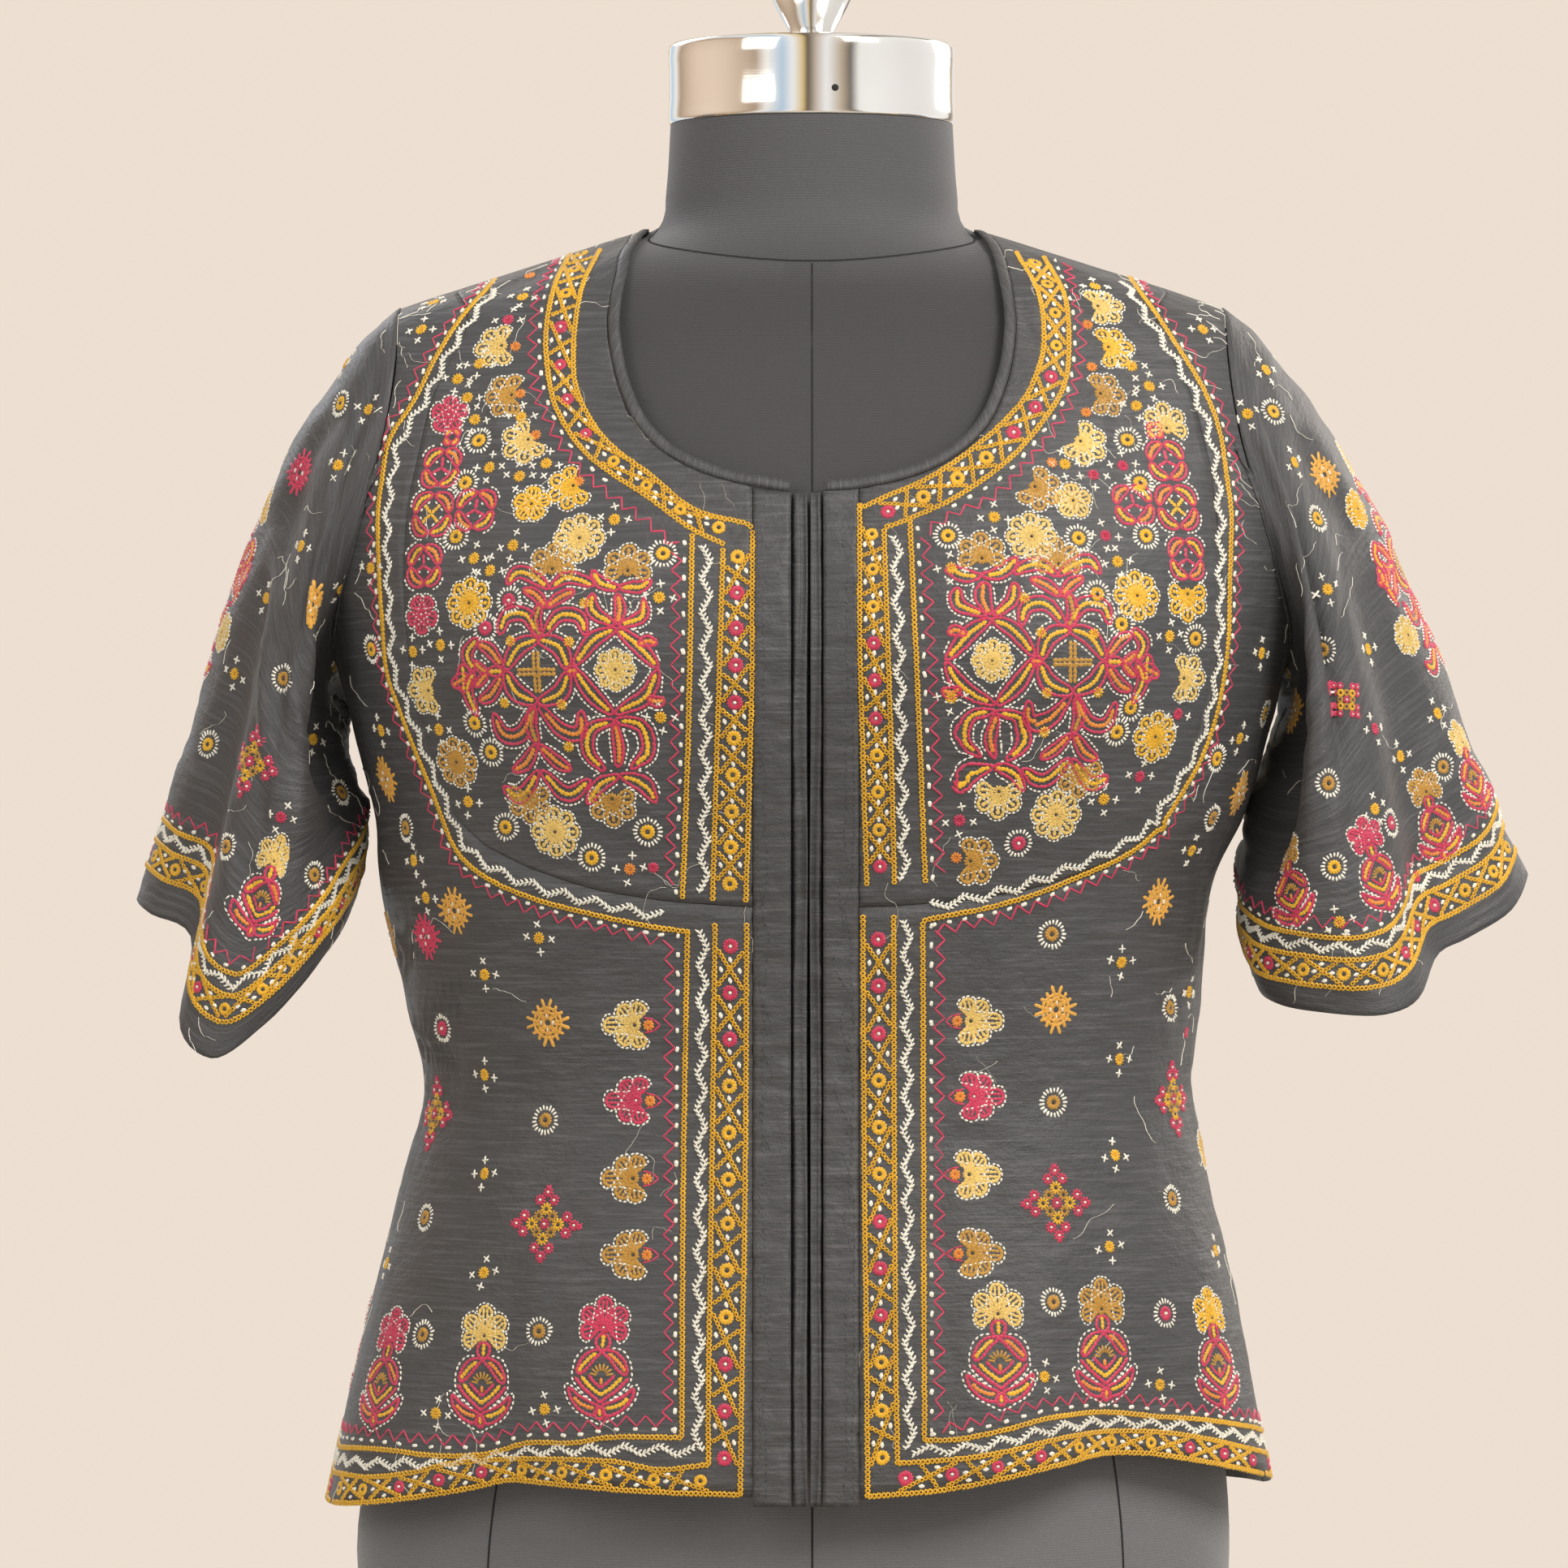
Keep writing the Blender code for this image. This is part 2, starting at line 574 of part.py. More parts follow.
def make_back(silk):
    """The back, in one cut, from side seam to side seam."""
    turn = SEAM_HALF_GAP / SIDE_RADIUS
    seam_angles = (math.pi / 2 + turn, 3 * math.pi / 2 - turn)
    edges = []
    for side, seam_angle in zip((1, -1), seam_angles):
        z = np.linspace(UNDERARM_HEIGHT, hem_height(seam_angle), SIDE_STEPS + 1)
        down = np.stack([np.full_like(z, seam_angle), z], axis=1)
        arm = armhole(np.linspace(360, 180, ARMHOLE_STEPS + 1), side)
        arm[:, 0] %= 2 * math.pi
        arm[[0, -1], 0] = seam_angle
        edges.append(np.concatenate([arm, down[1:]]))
    ridge = math.pi / 2 + SEAM_HALF_GAP / NECK_POINT
    neck = panel_neck_edge(ridge, 2 * math.pi - ridge)
    tip, neck_x = ARMHOLE["out"][-1] * MM, abs(blouse_point(*neck[0])[0])
    near = resampled(shoulder_seam(tip, neck_x, 1, turn=1), SHOULDER_STEPS)
    far = resampled(shoulder_seam(neck_x, tip, -1, turn=1), SHOULDER_STEPS)
    far[:, 0] += 2 * math.pi
    top = np.concatenate([near, resampled(neck, NECK_BACK_STEPS)[1:-1], far])
    angles = np.linspace(*seam_angles, 120)
    hem = resampled(np.stack([angles, hem_height(angles)], axis=1), len(top) - 1)
    patch = with_narrow_first_row(patch_between(top, hem, *edges))
    shell("back", raised(patch, 0), CLOTH_THICK, silk)


def make_neck_binding(silk):
    """The narrow binding all round the neckline."""
    outer = resampled(neckline(), BINDING_STEPS)
    inner = moved(outer, -BINDING_WIDTH)
    shell("neck_binding", raised(np.stack([outer, inner]), BAND_RAISE), BAND_THICK, silk)


def make_front_strips(side, silk):
    """The band along the front opening and the facing that shows inside its edge."""
    lower = moved(neckline_front(side), side * (BINDING_WIDTH + BINDING_GAP))
    reach = np.abs(blouse_point(lower[:, 0], lower[:, 1])[:, 0])
    near = reach < 2 * FRONT_EDGE[side]
    strips = (
        ("band", BAND_INNER_EDGE[side], FRONT_EDGE[side] - 2 * SEAM_HALF_GAP, BAND_RAISE,
         BAND_THICK),
        ("facing", FACING_INNER_EDGE[side], BAND_INNER_EDGE[side] - 2 * SEAM_HALF_GAP,
         -FACING_SETBACK, FACING_THICK),
    )
    for name, x_in, x_out, height, thickness in strips:
        columns = []
        for x in np.linspace(x_in, x_out, 3):
            top = np.interp(-x, -reach[near], lower[near, 1])
            columns.append(front_edge(side, x, top, BAND_BOTTOM))
        patch = np.stack([resampled(column, BAND_STEPS) for column in columns], axis=1)
        shell(SIDE_NAMES[name, side], raised(patch, height), thickness, silk)


def sleeve_points(side):
    """The outer face of a sleeve: rings of points from the armhole to the cuff."""
    angles = np.linspace(0, 360, SLEEVE_AROUND + 1)
    out = np.array([side, 1, 1])
    ring = armhole(angles, side)
    seam = blouse_point(ring[:, 0], ring[:, 1])
    along = seam[np.arange(len(seam)) - 1]
    along[0] = seam[-2]
    ahead = seam[(np.arange(len(seam)) + 1) % len(seam)]
    ahead[-1] = seam[1]
    normal = blouse_normal(ring[:, 0], ring[:, 1])
    into_hole = unit(np.cross(normal, unit(ahead - along)))
    into_hole *= np.sign((into_hole * (side, 0, -0.2)).sum(axis=1, keepdims=True))
    start = seam + SLEEVE_SEAM_GAP * into_hole + SLEEVE_LAP * normal
    table = SLEEVE_START
    way = np.stack([smooth(table["angle"], table[k], angles) for k in ("out", "y", "up")], axis=1)
    way = unit(way) * smooth(table["angle"], table["reach"] * MM, angles)[:, None] * out
    cuff = CUFFS[side]
    end = np.stack(
        [smooth_ring(cuff["angle"], cuff[k] * MM, angles) for k in ("out", "y", "height")], axis=1
    )
    end = end * out
    arrive = unit(np.array(SLEEVE_END[side])) * SLEEVE_END_REACH * out
    t = np.linspace(0, 1, SLEEVE_ALONG + 1)[:, None, None]
    points = (
        (1 + 2 * t) * (1 - t) ** 2 * start + t * (1 - t) ** 2 * way
        + t * t * (3 - 2 * t) * end - t * t * (1 - t) * arrive
    )
    return points + sleeve_folds(points, angles, t[:, 0], side)


def sleeve_folds(points, angles, t, side):
    round_sleeve = np.gradient(points, axis=1)
    round_sleeve[:, 0] = round_sleeve[:, -1] = points[:, 1] - points[:, -2]
    outward = unit(np.cross(round_sleeve, np.gradient(points, axis=0))) * side
    depth = np.zeros(points.shape[:2])
    for fold in SLEEVE_FOLDS[side]:
        beside = turn_between(angles, fold["angle"]) / fold["width"]
        beyond = (t - fold["along"]) / fold["length"]
        depth += fold["depth"] * MM * np.exp(-(beside**2) - beyond**2)
    return outward * depth[..., None]


def form_ring(z):
    """A ring of the form; z is one height or one per point."""
    theta = np.linspace(0, 2 * math.pi, FORM_AROUND, endpoint=False)
    return body_point(FORM, theta, np.broadcast_to(z, theta.shape), 0.0, FORM_BUST_LIFT)


def make_form(jersey, chrome, board):
    """The dress form: base board, body, neck, round cap and turned knob."""
    theta = np.linspace(0, 2 * math.pi, FORM_AROUND, endpoint=False)
    seam = NECK_SEAM_HEIGHT - NECK_SEAM_TILT * np.cos(theta)
    flat = [form_ring(z) for z in np.linspace(BASE_THICK + FORM_GAP, FLAT_RINGS_TOP, FORM_FLAT_RINGS)]
    shares = 1 - (1 - np.linspace(0, 1, FORM_TOP_RINGS + 1)[1:]) ** 1.6
    above = [form_ring(FLAT_RINGS_TOP + s * (seam - FLAT_RINGS_TOP)) for s in shares]
    solid("form_body", np.array(flat + above), jersey)
    shares = np.linspace(0, 1, 5)
    neck = [form_ring(seam + FORM_GAP + s * (NECK_TOP - seam - FORM_GAP)) for s in shares]
    solid("form_neck", np.array(neck), jersey)
    inset = (1 - BASE_INSET / 0.15, 1 - BASE_INSET / 0.10, 1)
    rings = [form_ring(BASE_THICK) * inset * (1, 1, share) for share in (0, 1)]
    solid("form_base", np.array(rings), board)

    bm = bmesh.new()
    bmesh.ops.create_cone(
        bm, cap_ends=True, segments=48, radius1=CAP_RADIUS, radius2=CAP_RADIUS, depth=CAP_HEIGHT
    )
    bmesh.ops.translate(bm, verts=bm.verts, vec=(0, 0, CAP_BOTTOM + CAP_HEIGHT / 2))
    cap = add_object("neck_cap", bm, chrome)
    edge = cap.modifiers.new("edge", "BEVEL")
    edge.width = CAP_EDGE
    edge.segments = 2
    edge.limit_method = "ANGLE"

    bm = bmesh.new()
    rows = [bm.verts.new((radius * MM, 0, height * MM)) for radius, height in FINIAL]
    for upper, lower in zip(rows, rows[1:]):
        bm.edges.new((upper, lower))
    knob = add_object("cap_knob", bm, chrome)
    turned = knob.modifiers.new("turned", "SCREW")
    turned.steps = 32
    turned.render_steps = 32
    turned.use_merge_vertices = True
    turned.merge_threshold = 0.0001


def main():
    silk, jersey, chrome, board = (make_material(name) for name in COLOURS)
    make_form(jersey, chrome, board)
    for side in (-1, 1):
        make_cup(side, silk)
        make_front(side, silk)
        make_front_strips(side, silk)
        shell(SIDE_NAMES["sleeve", side], sleeve_points(side), CLOTH_THICK, silk, wrap=True)
    make_back(silk)
    make_neck_binding(silk)


for old in list(bpy.data.objects):
    bpy.data.objects.remove(old)
COLLECTION = bpy.data.collections.new("choli_on_form")
bpy.context.scene.collection.children.link(COLLECTION)
main()
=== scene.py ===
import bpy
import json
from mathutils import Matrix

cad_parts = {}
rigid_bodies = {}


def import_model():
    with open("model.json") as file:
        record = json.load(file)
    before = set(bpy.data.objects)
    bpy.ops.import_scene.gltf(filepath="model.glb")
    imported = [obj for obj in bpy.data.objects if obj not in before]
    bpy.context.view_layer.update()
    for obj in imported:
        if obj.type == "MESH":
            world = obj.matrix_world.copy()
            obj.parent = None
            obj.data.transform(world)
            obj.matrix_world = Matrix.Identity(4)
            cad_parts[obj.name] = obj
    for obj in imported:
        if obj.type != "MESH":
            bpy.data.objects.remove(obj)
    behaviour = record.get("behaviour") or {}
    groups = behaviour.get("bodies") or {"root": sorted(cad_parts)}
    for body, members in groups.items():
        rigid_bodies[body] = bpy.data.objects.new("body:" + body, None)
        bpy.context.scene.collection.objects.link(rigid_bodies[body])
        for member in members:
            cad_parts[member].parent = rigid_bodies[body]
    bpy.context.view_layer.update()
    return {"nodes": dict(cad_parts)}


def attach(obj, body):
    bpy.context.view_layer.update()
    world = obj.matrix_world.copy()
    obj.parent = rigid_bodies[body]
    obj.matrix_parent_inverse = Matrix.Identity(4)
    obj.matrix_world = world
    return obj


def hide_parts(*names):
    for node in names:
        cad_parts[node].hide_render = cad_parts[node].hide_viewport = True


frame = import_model()

# An embroidered black silk choli blouse on its dress form: cloth shells, thread work and looks.
# The cloth surfaces repeat the sizes of the CAD solids that they stand for. The thread work is
# real stitches: each motif is drawn in millimetres, set on the cloth and laid stitch by stitch.
# Places on the front are named by photo pixels, px to the right and py down.

import copy
import json
import math

import bmesh
import bpy
import numpy as np
from mathutils import Matrix, Vector
from mathutils.bvhtree import BVHTree

MM = 0.001
SIDE_RADIUS = 180.0 * MM
ARMHOLE_STEPS = 46
SIDE_STEPS = 60
SIDE_ROWS = ARMHOLE_STEPS + SIDE_STEPS
CUP_FOOT_STEPS = 44
FRONT_ACROSS = 40
SHOULDER_STEPS = 20
NECK_BACK_STEPS = 40
RNG = np.random.default_rng(41)

# The photo's camera
PIXEL = 0.35 * MM
MIDDLE_PX, FLOOR_PY = 1000, 2140
CAMERA = np.array([-11.9 * MM, -3.5, 410.9 * MM])
LENS, SENSOR = 186.4, 36.0

# Front opening and neck
FRONT_EDGE = {-1: 25.0 * MM, 1: 19.5 * MM}
BAND_INNER_EDGE = {-1: 9.0 * MM, 1: 4.5 * MM}
FACING_INNER_EDGE = {-1: 2.6 * MM, 1: -0.6 * MM}
BAND_BOTTOM = 111.0 * MM
BINDING_WIDTH = 5.0 * MM
NECK_POINT = 70.0 * MM
BACK_NECK_HEIGHT = 634.0 * MM

BUST_X = 98.0 * MM
BUST_HEIGHT = 468.0 * MM
BUST_SPREAD = 46.0 * MM
BUST_LIFT = 9.0 * MM
UNDERARM_HEIGHT = 462.0 * MM
FORM_BUST_LIFT = 9.0 * MM

# Seams as they look: closed up, where the CAD solids leave a gap
SEAM_HALF_GAP = 0.14 * MM
BINDING_GAP = 0.3 * MM
SLEEVE_SEAM_GAP = 0.4 * MM
SLEEVE_LAP = 0.5 * MM
SHELL_THICK = 0.9 * MM
BAND_RAISE = 0.5 * MM
FACING_SETBACK = 0.9 * MM

# The form's cover and the knit of it
NECK_SEAM_HEIGHT = 650.0 * MM
NECK_SEAM_TILT = 18.0 * MM
NECK_TOP = 694.5 * MM
COVER_FOOT = 10.4 * MM
COVER_COLUMNS = 96
RIB_PITCH = 0.7306 * MM

SLEEVE_RADIUS = 52.0 * MM
SLEEVE_LENGTH = 0.29
# The least length of a cross and a round in a ladder border, in millimetres
LADDER_PITCH = 17.6
FLOOR_RADIUS = 0.74
# Colours that the chrome sees, from left to right.
REFLECTION_BANDS = [
    (0.00, "#F4DCC6"), (0.14, "#B59C84"), (0.20, "#FFFBF4"), (0.30, "#BCD4EA"), (0.37, "#FFFFFF"),
    (0.44, "#E8C98A"), (0.47, "#4A4038"), (0.53, "#D2C2B2"), (0.60, "#FFFFFF"),
    (0.70, "#C9B79F"), (0.76, "#6E665E"), (0.81, "#FFFDF8"), (0.90, "#FFFDFA"), (1.00, "#F6F1EE"),
]



def table_of(columns, rows):
    """Rows of a table, with named columns."""
    return np.array(rows, dtype=[(name, float) for name in columns.split()])


SECTION = "height right left front back power"

# The blouse, hem to neck: half widths to the wearer's right and left, depths and roundness.
# Between underarm and shoulder the half widths run on past the armhole.
BLOUSE = table_of(SECTION, [
    (100, 209, 197, 134, 141, 2.30),
    (150, 198.5, 188.5, 131, 134, 2.30),
    (200, 186.5, 180, 125, 121, 2.30),
    (245, 175, 170, 118, 107, 2.30),
    (283, 166.5, 163.5, 114, 98, 2.30),
    (310, 173, 166.5, 114, 97, 2.30),
    (340, 179, 169, 116, 96, 2.30),
    (370, 186, 173, 119, 98, 2.30),
    (400, 188.5, 187, 123, 102, 2.30),
    (430, 196, 196, 127, 106, 2.30),
    (462, 204.3, 204.3, 130, 110, 2.30),
    (490, 212, 212, 127, 112, 2.25),
    (520, 217, 217, 119, 112, 2.20),
    (550, 218, 218, 108, 108, 2.10),
    (580, 213, 213, 94, 101, 2.05),
    (600, 202, 202, 84, 94, 2.00),
    (612, 186, 186, 78, 89, 2.00),
    (621, 161, 161, 74, 84, 2.00),
    (630, 132, 132, 69, 78, 2.00),
    (640, 100, 100, 65, 73, 2.00),
    (649, 71.5, 71.5, 62, 67, 2.00),
    (655, 52, 52, 60, 63, 2.00),
])

# The dress form, base to the top of its neck.
FORM = table_of(SECTION, [
    (0, 177, 163, 99, 116, 2.20),
    (40, 190, 176, 106, 126, 2.20),
    (80, 196, 180, 108, 130, 2.20),
    (120, 191, 178, 107, 128, 2.20),
    (160, 180, 171, 103, 118, 2.20),
    (200, 161, 158, 97, 105, 2.20),
    (240, 142, 140, 90, 91, 2.20),
    (280, 130, 130, 87, 82, 2.20),
    (320, 132, 132, 91, 80, 2.20),
    (370, 142, 142, 101, 85, 2.20),
    (400, 148, 148, 108, 90, 2.20),
    (430, 154, 154, 115, 97, 2.20),
    (462, 161, 161, 120, 103, 2.20),
    (490, 168, 168, 118, 107, 2.20),
    (520, 173, 173, 112, 107, 2.20),
    (550, 175, 175, 102, 103, 2.15),
    (580, 175, 175, 89, 96, 2.10),
    (600, 171, 171, 79, 88, 2.05),
    (612.5, 166, 166, 74.5, 83.5, 2.00),
    (619.7, 152, 152, 71, 80, 2.00),
    (628.7, 128, 128, 67, 75, 2.00),
    (638.7, 95, 95, 63, 70, 2.00),
    (647, 69.2, 69.2, 60, 64.5, 2.00),
    (653, 64.5, 64.5, 58.5, 61, 2.00),
    (665, 62.8, 62.8, 58.5, 60, 2.00),
    (694.5, 60.8, 60.8, 60.8, 60.8, 2.00),
])

# Hem height round the blouse: 0 is the centre front, +90 the side at +X.
HEM = table_of("angle height", [
    (-180, 112), (-150, 110), (-120, 108), (-95, 108), (-80, 104.5), (-68, 107), (-58, 113),
    (-50, 119), (-40, 118), (-25, 116), (-11, 115), (0, 114.5), (11, 114.5), (25, 118),
    (40, 126), (53, 130), (64, 125), (75, 117), (88, 111), (110, 108), (150, 110), (180, 112),
])

# Soft folds of the body: they are full at the hem and die out at the top height.
BODY_FOLDS = table_of("angle width depth top", [
    (-72, 9, 6.0, 250),
    (-53, 8, -6.0, 230),
    (-30, 12, 3.0, 260),
    (34, 12, 4.0, 240),
    (53, 10, -8.0, 260),
    (76, 9, 6.0, 240),
    (112, 10, -5.0, 250),
    (140, 12, 4.0, 260),
    (-115, 11, -5.0, 240),
    (-146, 12, 4.0, 270),
])

# Front neckline from the shoulder to the centre front: distance from the middle, and height.
NECKLINE = [
    (71.5, 647), (75.5, 640), (79.5, 622.5), (81, 603), (77, 581), (69, 563.5), (54, 550),
    (34, 542), (19, 539),
]

# Seam between the cup and the rest of the front, from the shoulder to the front opening.
CUP_SEAM = [
    (147, 604), (160, 576), (168.5, 541), (172, 509), (170.5, 475), (166, 440), (159, 413),
    (149, 396), (137, 385), (119, 376), (95, 368), (68, 363), (40, 360.5),
]
CUP_FOOT_HEIGHT = 359.5 * MM
CUP_SHOULDER_X = 139.0 * MM
CUP_FOOT_CORNER = 8

# Distance of the armhole seam from the middle.
ARMHOLE = table_of("height out", [
    (462, 204.3), (475, 203), (500, 197), (530, 188.5), (560, 181), (590, 177), (616, 176.5),
])

# Cuff rings: angle round the sleeve (0 outer, 90 front, 180 inner, 270 back), then the place.
CUFF = "angle out y height"
CUFFS = {
    -1: table_of(CUFF, [
        (0, 292, 10, 361), (22, 284, -10, 355), (42, 266, -24, 345), (62, 269, -52, 309),
        (82, 255, -66, 295), (108, 232, -63, 309), (138, 206, -42, 339), (168, 198, -8, 357),
        (200, 203, 28, 362), (236, 221, 54, 358), (272, 249, 60, 356), (310, 275, 48, 358),
        (338, 289, 30, 361),
    ]),
    1: table_of(CUFF, [
        (0, 309, 8, 371), (20, 300, -12, 356), (38, 281, -24, 345), (54, 267, -36, 338),
        (70, 258, -58, 321), (90, 242, -70, 313.5), (114, 214, -66, 314.5), (140, 194, -47, 319),
        (162, 190, -20, 327), (190, 194, 14, 338), (218, 210, 42, 346), (252, 238, 58, 353),
        (292, 271, 57, 359), (328, 299, 34, 366),
    ]),
}

# How the sleeve leaves the armhole and reaches the cuff: directions (out, y, up) and reaches.
SLEEVE_START = table_of("angle out y up reach", [
    (0, 0.82, 0.00, -0.57, 235), (90, 0.80, -0.10, -0.60, 170), (180, 0.42, -0.02, -0.91, 110),
    (270, 0.80, 0.12, -0.59, 170), (360, 0.82, 0.00, -0.57, 235),
])
SLEEVE_END = {-1: (0.36, 0.0, -0.93), 1: (0.42, 0.0, -0.91)}
SLEEVE_END_REACH = 190.0 * MM

# Sleeve folds: angle and half width round the sleeve, depth, place and half length along it.
FOLD = "angle width depth along length"
SLEEVE_FOLDS = {
    -1: table_of(FOLD, [
        (142, 17, -15, 0.40, 0.26), (112, 12, 5, 0.45, 0.25), (84, 10, -4, 0.62, 0.22),
        (300, 14, -6, 0.60, 0.25), (208, 28, 9.5, 0.27, 0.17),
    ]),
    1: table_of(FOLD, [
        (138, 18, -19, 0.42, 0.27), (106, 11, 6, 0.44, 0.22), (86, 9, -6, 0.40, 0.20),
        (60, 10, 4, 0.62, 0.25), (300, 14, -6, 0.60, 0.25), (206, 30, 6.2, 0.46, 0.27),
        (206, 22, 4.2, 0.15, 0.15),
    ]),
}

# Creases of the body: where the middle lies, how it runs and its half length, half width, depth.
CREASE = "angle height tilt length width depth"
BODY_CREASES = table_of(CREASE, [
    (-66, 318, 8, 26, 4.0, 1.5),
    (-74, 296, -12, 30, 4.5, 1.7),
    (-80, 338, 14, 24, 4.0, 1.3),
    (-58, 281, 18, 22, 4.0, 1.0),
    (64, 300, -8, 26, 4.0, 1.5),
    (72, 321, 12, 30, 4.5, 1.7),
    (80, 282, 16, 24, 4.0, 1.3),
    (55, 336, -16, 20, 4.0, 0.9),
    (-60, 560, -58, 26, 4.5, 1.2),
    (58, 566, 62, 30, 5.0, 1.5),
    (66, 530, 70, 24, 4.0, 1.2),
    (-64, 510, -72, 24, 4.0, 1.1),
    (52, 610, 66, 18, 4.0, 0.9),
    (36, 432, 28, 34, 5.0, 0.9),
    (-30, 300, 4, 30, 5.0, 0.8),
    (30, 262, -6, 34, 5.0, 0.8),
    (-44, 214, 80, 40, 6.0, 1.2),
    (24, 190, 84, 38, 6.0, 1.0),
    (118, 305, 10, 34, 5.0, 1.5),
    (-120, 312, -8, 36, 5.0, 1.6),
    (134, 286, -14, 30, 5.0, 1.2),
    (-138, 292, 12, 30, 5.0, 1.2),
    (180, 300, 3, 46, 6.0, 1.0),
    (150, 470, 62, 40, 6.0, 1.2),
    (-150, 476, -62, 40, 6.0, 1.2),
    (128, 520, 76, 34, 5.0, 1.4),
    (-128, 524, -74, 34, 5.0, 1.4),
])

# Soft creases of the sleeves: angle round the sleeve and distance down it.
SLEEVE_CREASES = {
    -1: table_of(CREASE, [
        (70, 40, -70, 34, 5, 1.3), (95, 90, -60, 40, 6, 1.6), (40, 60, 74, 36, 6, 1.2),
        (60, 150, -50, 34, 6, 1.4), (20, 120, 60, 40, 7, 1.2), (110, 140, -35, 30, 5, 1.4),
        (80, 205, -66, 36, 7, 1.5), (0, 40, 84, 30, 6, 1.0), (250, 80, 66, 44, 6, 1.6),
        (290, 150, 50, 40, 6, 1.5), (225, 160, 74, 36, 6, 1.4), (330, 70, -70, 36, 6, 1.1),
    ]),
    1: table_of(CREASE, [
        (70, 40, -66, 34, 5, 1.3), (96, 84, -50, 42, 6, 1.7), (44, 70, 70, 36, 6, 1.2),
        (72, 128, -44, 36, 6, 1.6), (24, 120, 60, 40, 7, 1.2), (112, 130, -30, 30, 5, 1.5),
        (86, 196, -70, 36, 7, 1.5), (4, 44, 80, 30, 6, 1.0), (250, 90, 66, 44, 6, 1.6),
        (286, 150, 52, 40, 6, 1.5), (222, 166, 74, 36, 6, 1.4), (330, 70, -70, 36, 6, 1.1),
    ]),
}

# Knob profile, top to bottom: radius and height.
FINE_KNOB = [
    (0.0, 785.5), (2.5, 785.4), (5.0, 785.0), (7.4, 784.2), (9.5, 783.0), (11.9, 781.1),
    (14.0, 778.5), (16.2, 775.5), (18.0, 772.0), (19.4, 768.3), (20.0, 764.5), (20.0, 760.5),
    (19.4, 756.5), (18.5, 752.7), (17.2, 749.0), (15.7, 745.7), (14.0, 742.5), (12.3, 739.6),
    (10.8, 737.0), (10.0, 735.4), (9.6, 734.2), (9.6, 733.0), (10.0, 732.4), (12.4, 732.0),
    (15.0, 731.6), (15.5, 730.9), (15.5, 730.1), (0.0, 730.1),
]


def smooth(xs, ys, at):
    """A smooth curve through the points of a table, read at one or many places."""
    xs, ys, at = np.asarray(xs, float), np.asarray(ys, float), np.asarray(at, float)
    slopes = np.gradient(ys, xs)
    i = np.clip(np.searchsorted(xs, at) - 1, 0, len(xs) - 2)
    step = xs[i + 1] - xs[i]
    t = np.clip((at - xs[i]) / step, 0, 1)
    start = (1 + 2 * t) * (1 - t) ** 2 * ys[i] + t * (1 - t) ** 2 * step * slopes[i]
    end = t * t * (3 - 2 * t) * ys[i + 1] - t * t * (1 - t) * step * slopes[i + 1]
    return start + end


def smooth_ring(angles, ys, at):
    """Like smooth(), for a table of degrees that closes on itself."""
    angles, ys = np.asarray(angles, float), np.asarray(ys, float)
    wide = np.concatenate([angles - 360, angles, angles + 360])
    return smooth(wide, np.tile(ys, 3), at)


def ramp(t):
    t = np.clip(t, 0, 1)
    return t * t * (3 - 2 * t)


def turn_between(a, b):
    """The shortest way from angle b to angle a, in degrees."""
    return (a - b + 180) % 360 - 180


def unit(v):
    return v / np.linalg.norm(v, axis=-1, keepdims=True)


def section(table, across, ahead, z):
    """Half width, depth and power of a section in the quarter given by two signs."""
    row = {name: smooth(table["height"] * MM, table[name], z) for name in SECTION.split()[1:]}
    half = np.where(across > 0, row["left"], row["right"]) * MM
    depth = np.where(ahead > 0, row["front"], row["back"]) * MM
    return half, depth, row["power"]


def section_radius(table, theta, z):
    """Distance from the upright axis to the section's outline, in direction theta."""
    across, ahead = np.sin(theta), np.cos(theta)
    half, depth, power = section(table, across, ahead, z)
    share = (np.abs(across) / half) ** power + (np.abs(ahead) / depth) ** power
    return share ** (-1 / power)


def body_point(table, theta, z, extra, lift):
    theta, z = np.broadcast_arrays(np.asarray(theta, float), np.asarray(z, float))
    radius = section_radius(table, theta, z) + extra
    x, ahead = radius * np.sin(theta), np.cos(theta)
    off_axis = (np.abs(x) - BUST_X) ** 2 + (z - BUST_HEIGHT) ** 2
    bust = lift * np.exp(-off_axis / (2 * BUST_SPREAD**2)) * np.clip(3 * ahead, 0, 1)
    return np.stack([x, -radius * ahead - bust, z], axis=-1)


def fold_depth(theta, z):
    total = 0.0
    low = HEM["height"].min() * MM
    for fold in BODY_FOLDS:
        beside = turn_between(np.degrees(theta), fold["angle"]) / fold["width"]
        fade = ramp((fold["top"] * MM - z) / (fold["top"] * MM - low))
        total = total + fold["depth"] * MM * np.exp(-(beside**2)) * fade
    return total


def blouse_point(theta, z):
    """The outer face of the blouse's body. theta is 0 at the front and +90 degrees at +X."""
    return body_point(BLOUSE, theta, z, fold_depth(theta, z), BUST_LIFT)


def blouse_normal(theta, z):
    step = 1e-4
    along_u = blouse_point(theta + step, z) - blouse_point(theta - step, z)
    along_v = blouse_point(theta, z + step) - blouse_point(theta, z - step)
    return unit(np.cross(along_u, along_v))


def theta_at(x, z, ahead=1):
    """The angle of the place of a section that lies at x, in front or behind."""
    x = np.asarray(x, float)
    half, depth, power = section(BLOUSE, x, np.full_like(x, ahead), z)
    share = np.clip(np.abs(x) / half, 0, 1)
    return np.arctan2(x, ahead * depth * (1 - share**power) ** (1 / power))


def ridge_height(x):
    """Height of the shoulder seam at a distance from the middle."""
    heights = np.linspace(600, 655, 300) * MM
    halves = smooth(BLOUSE["height"] * MM, BLOUSE["left"] * MM, heights)
    return np.interp(-np.abs(x), -halves, heights)


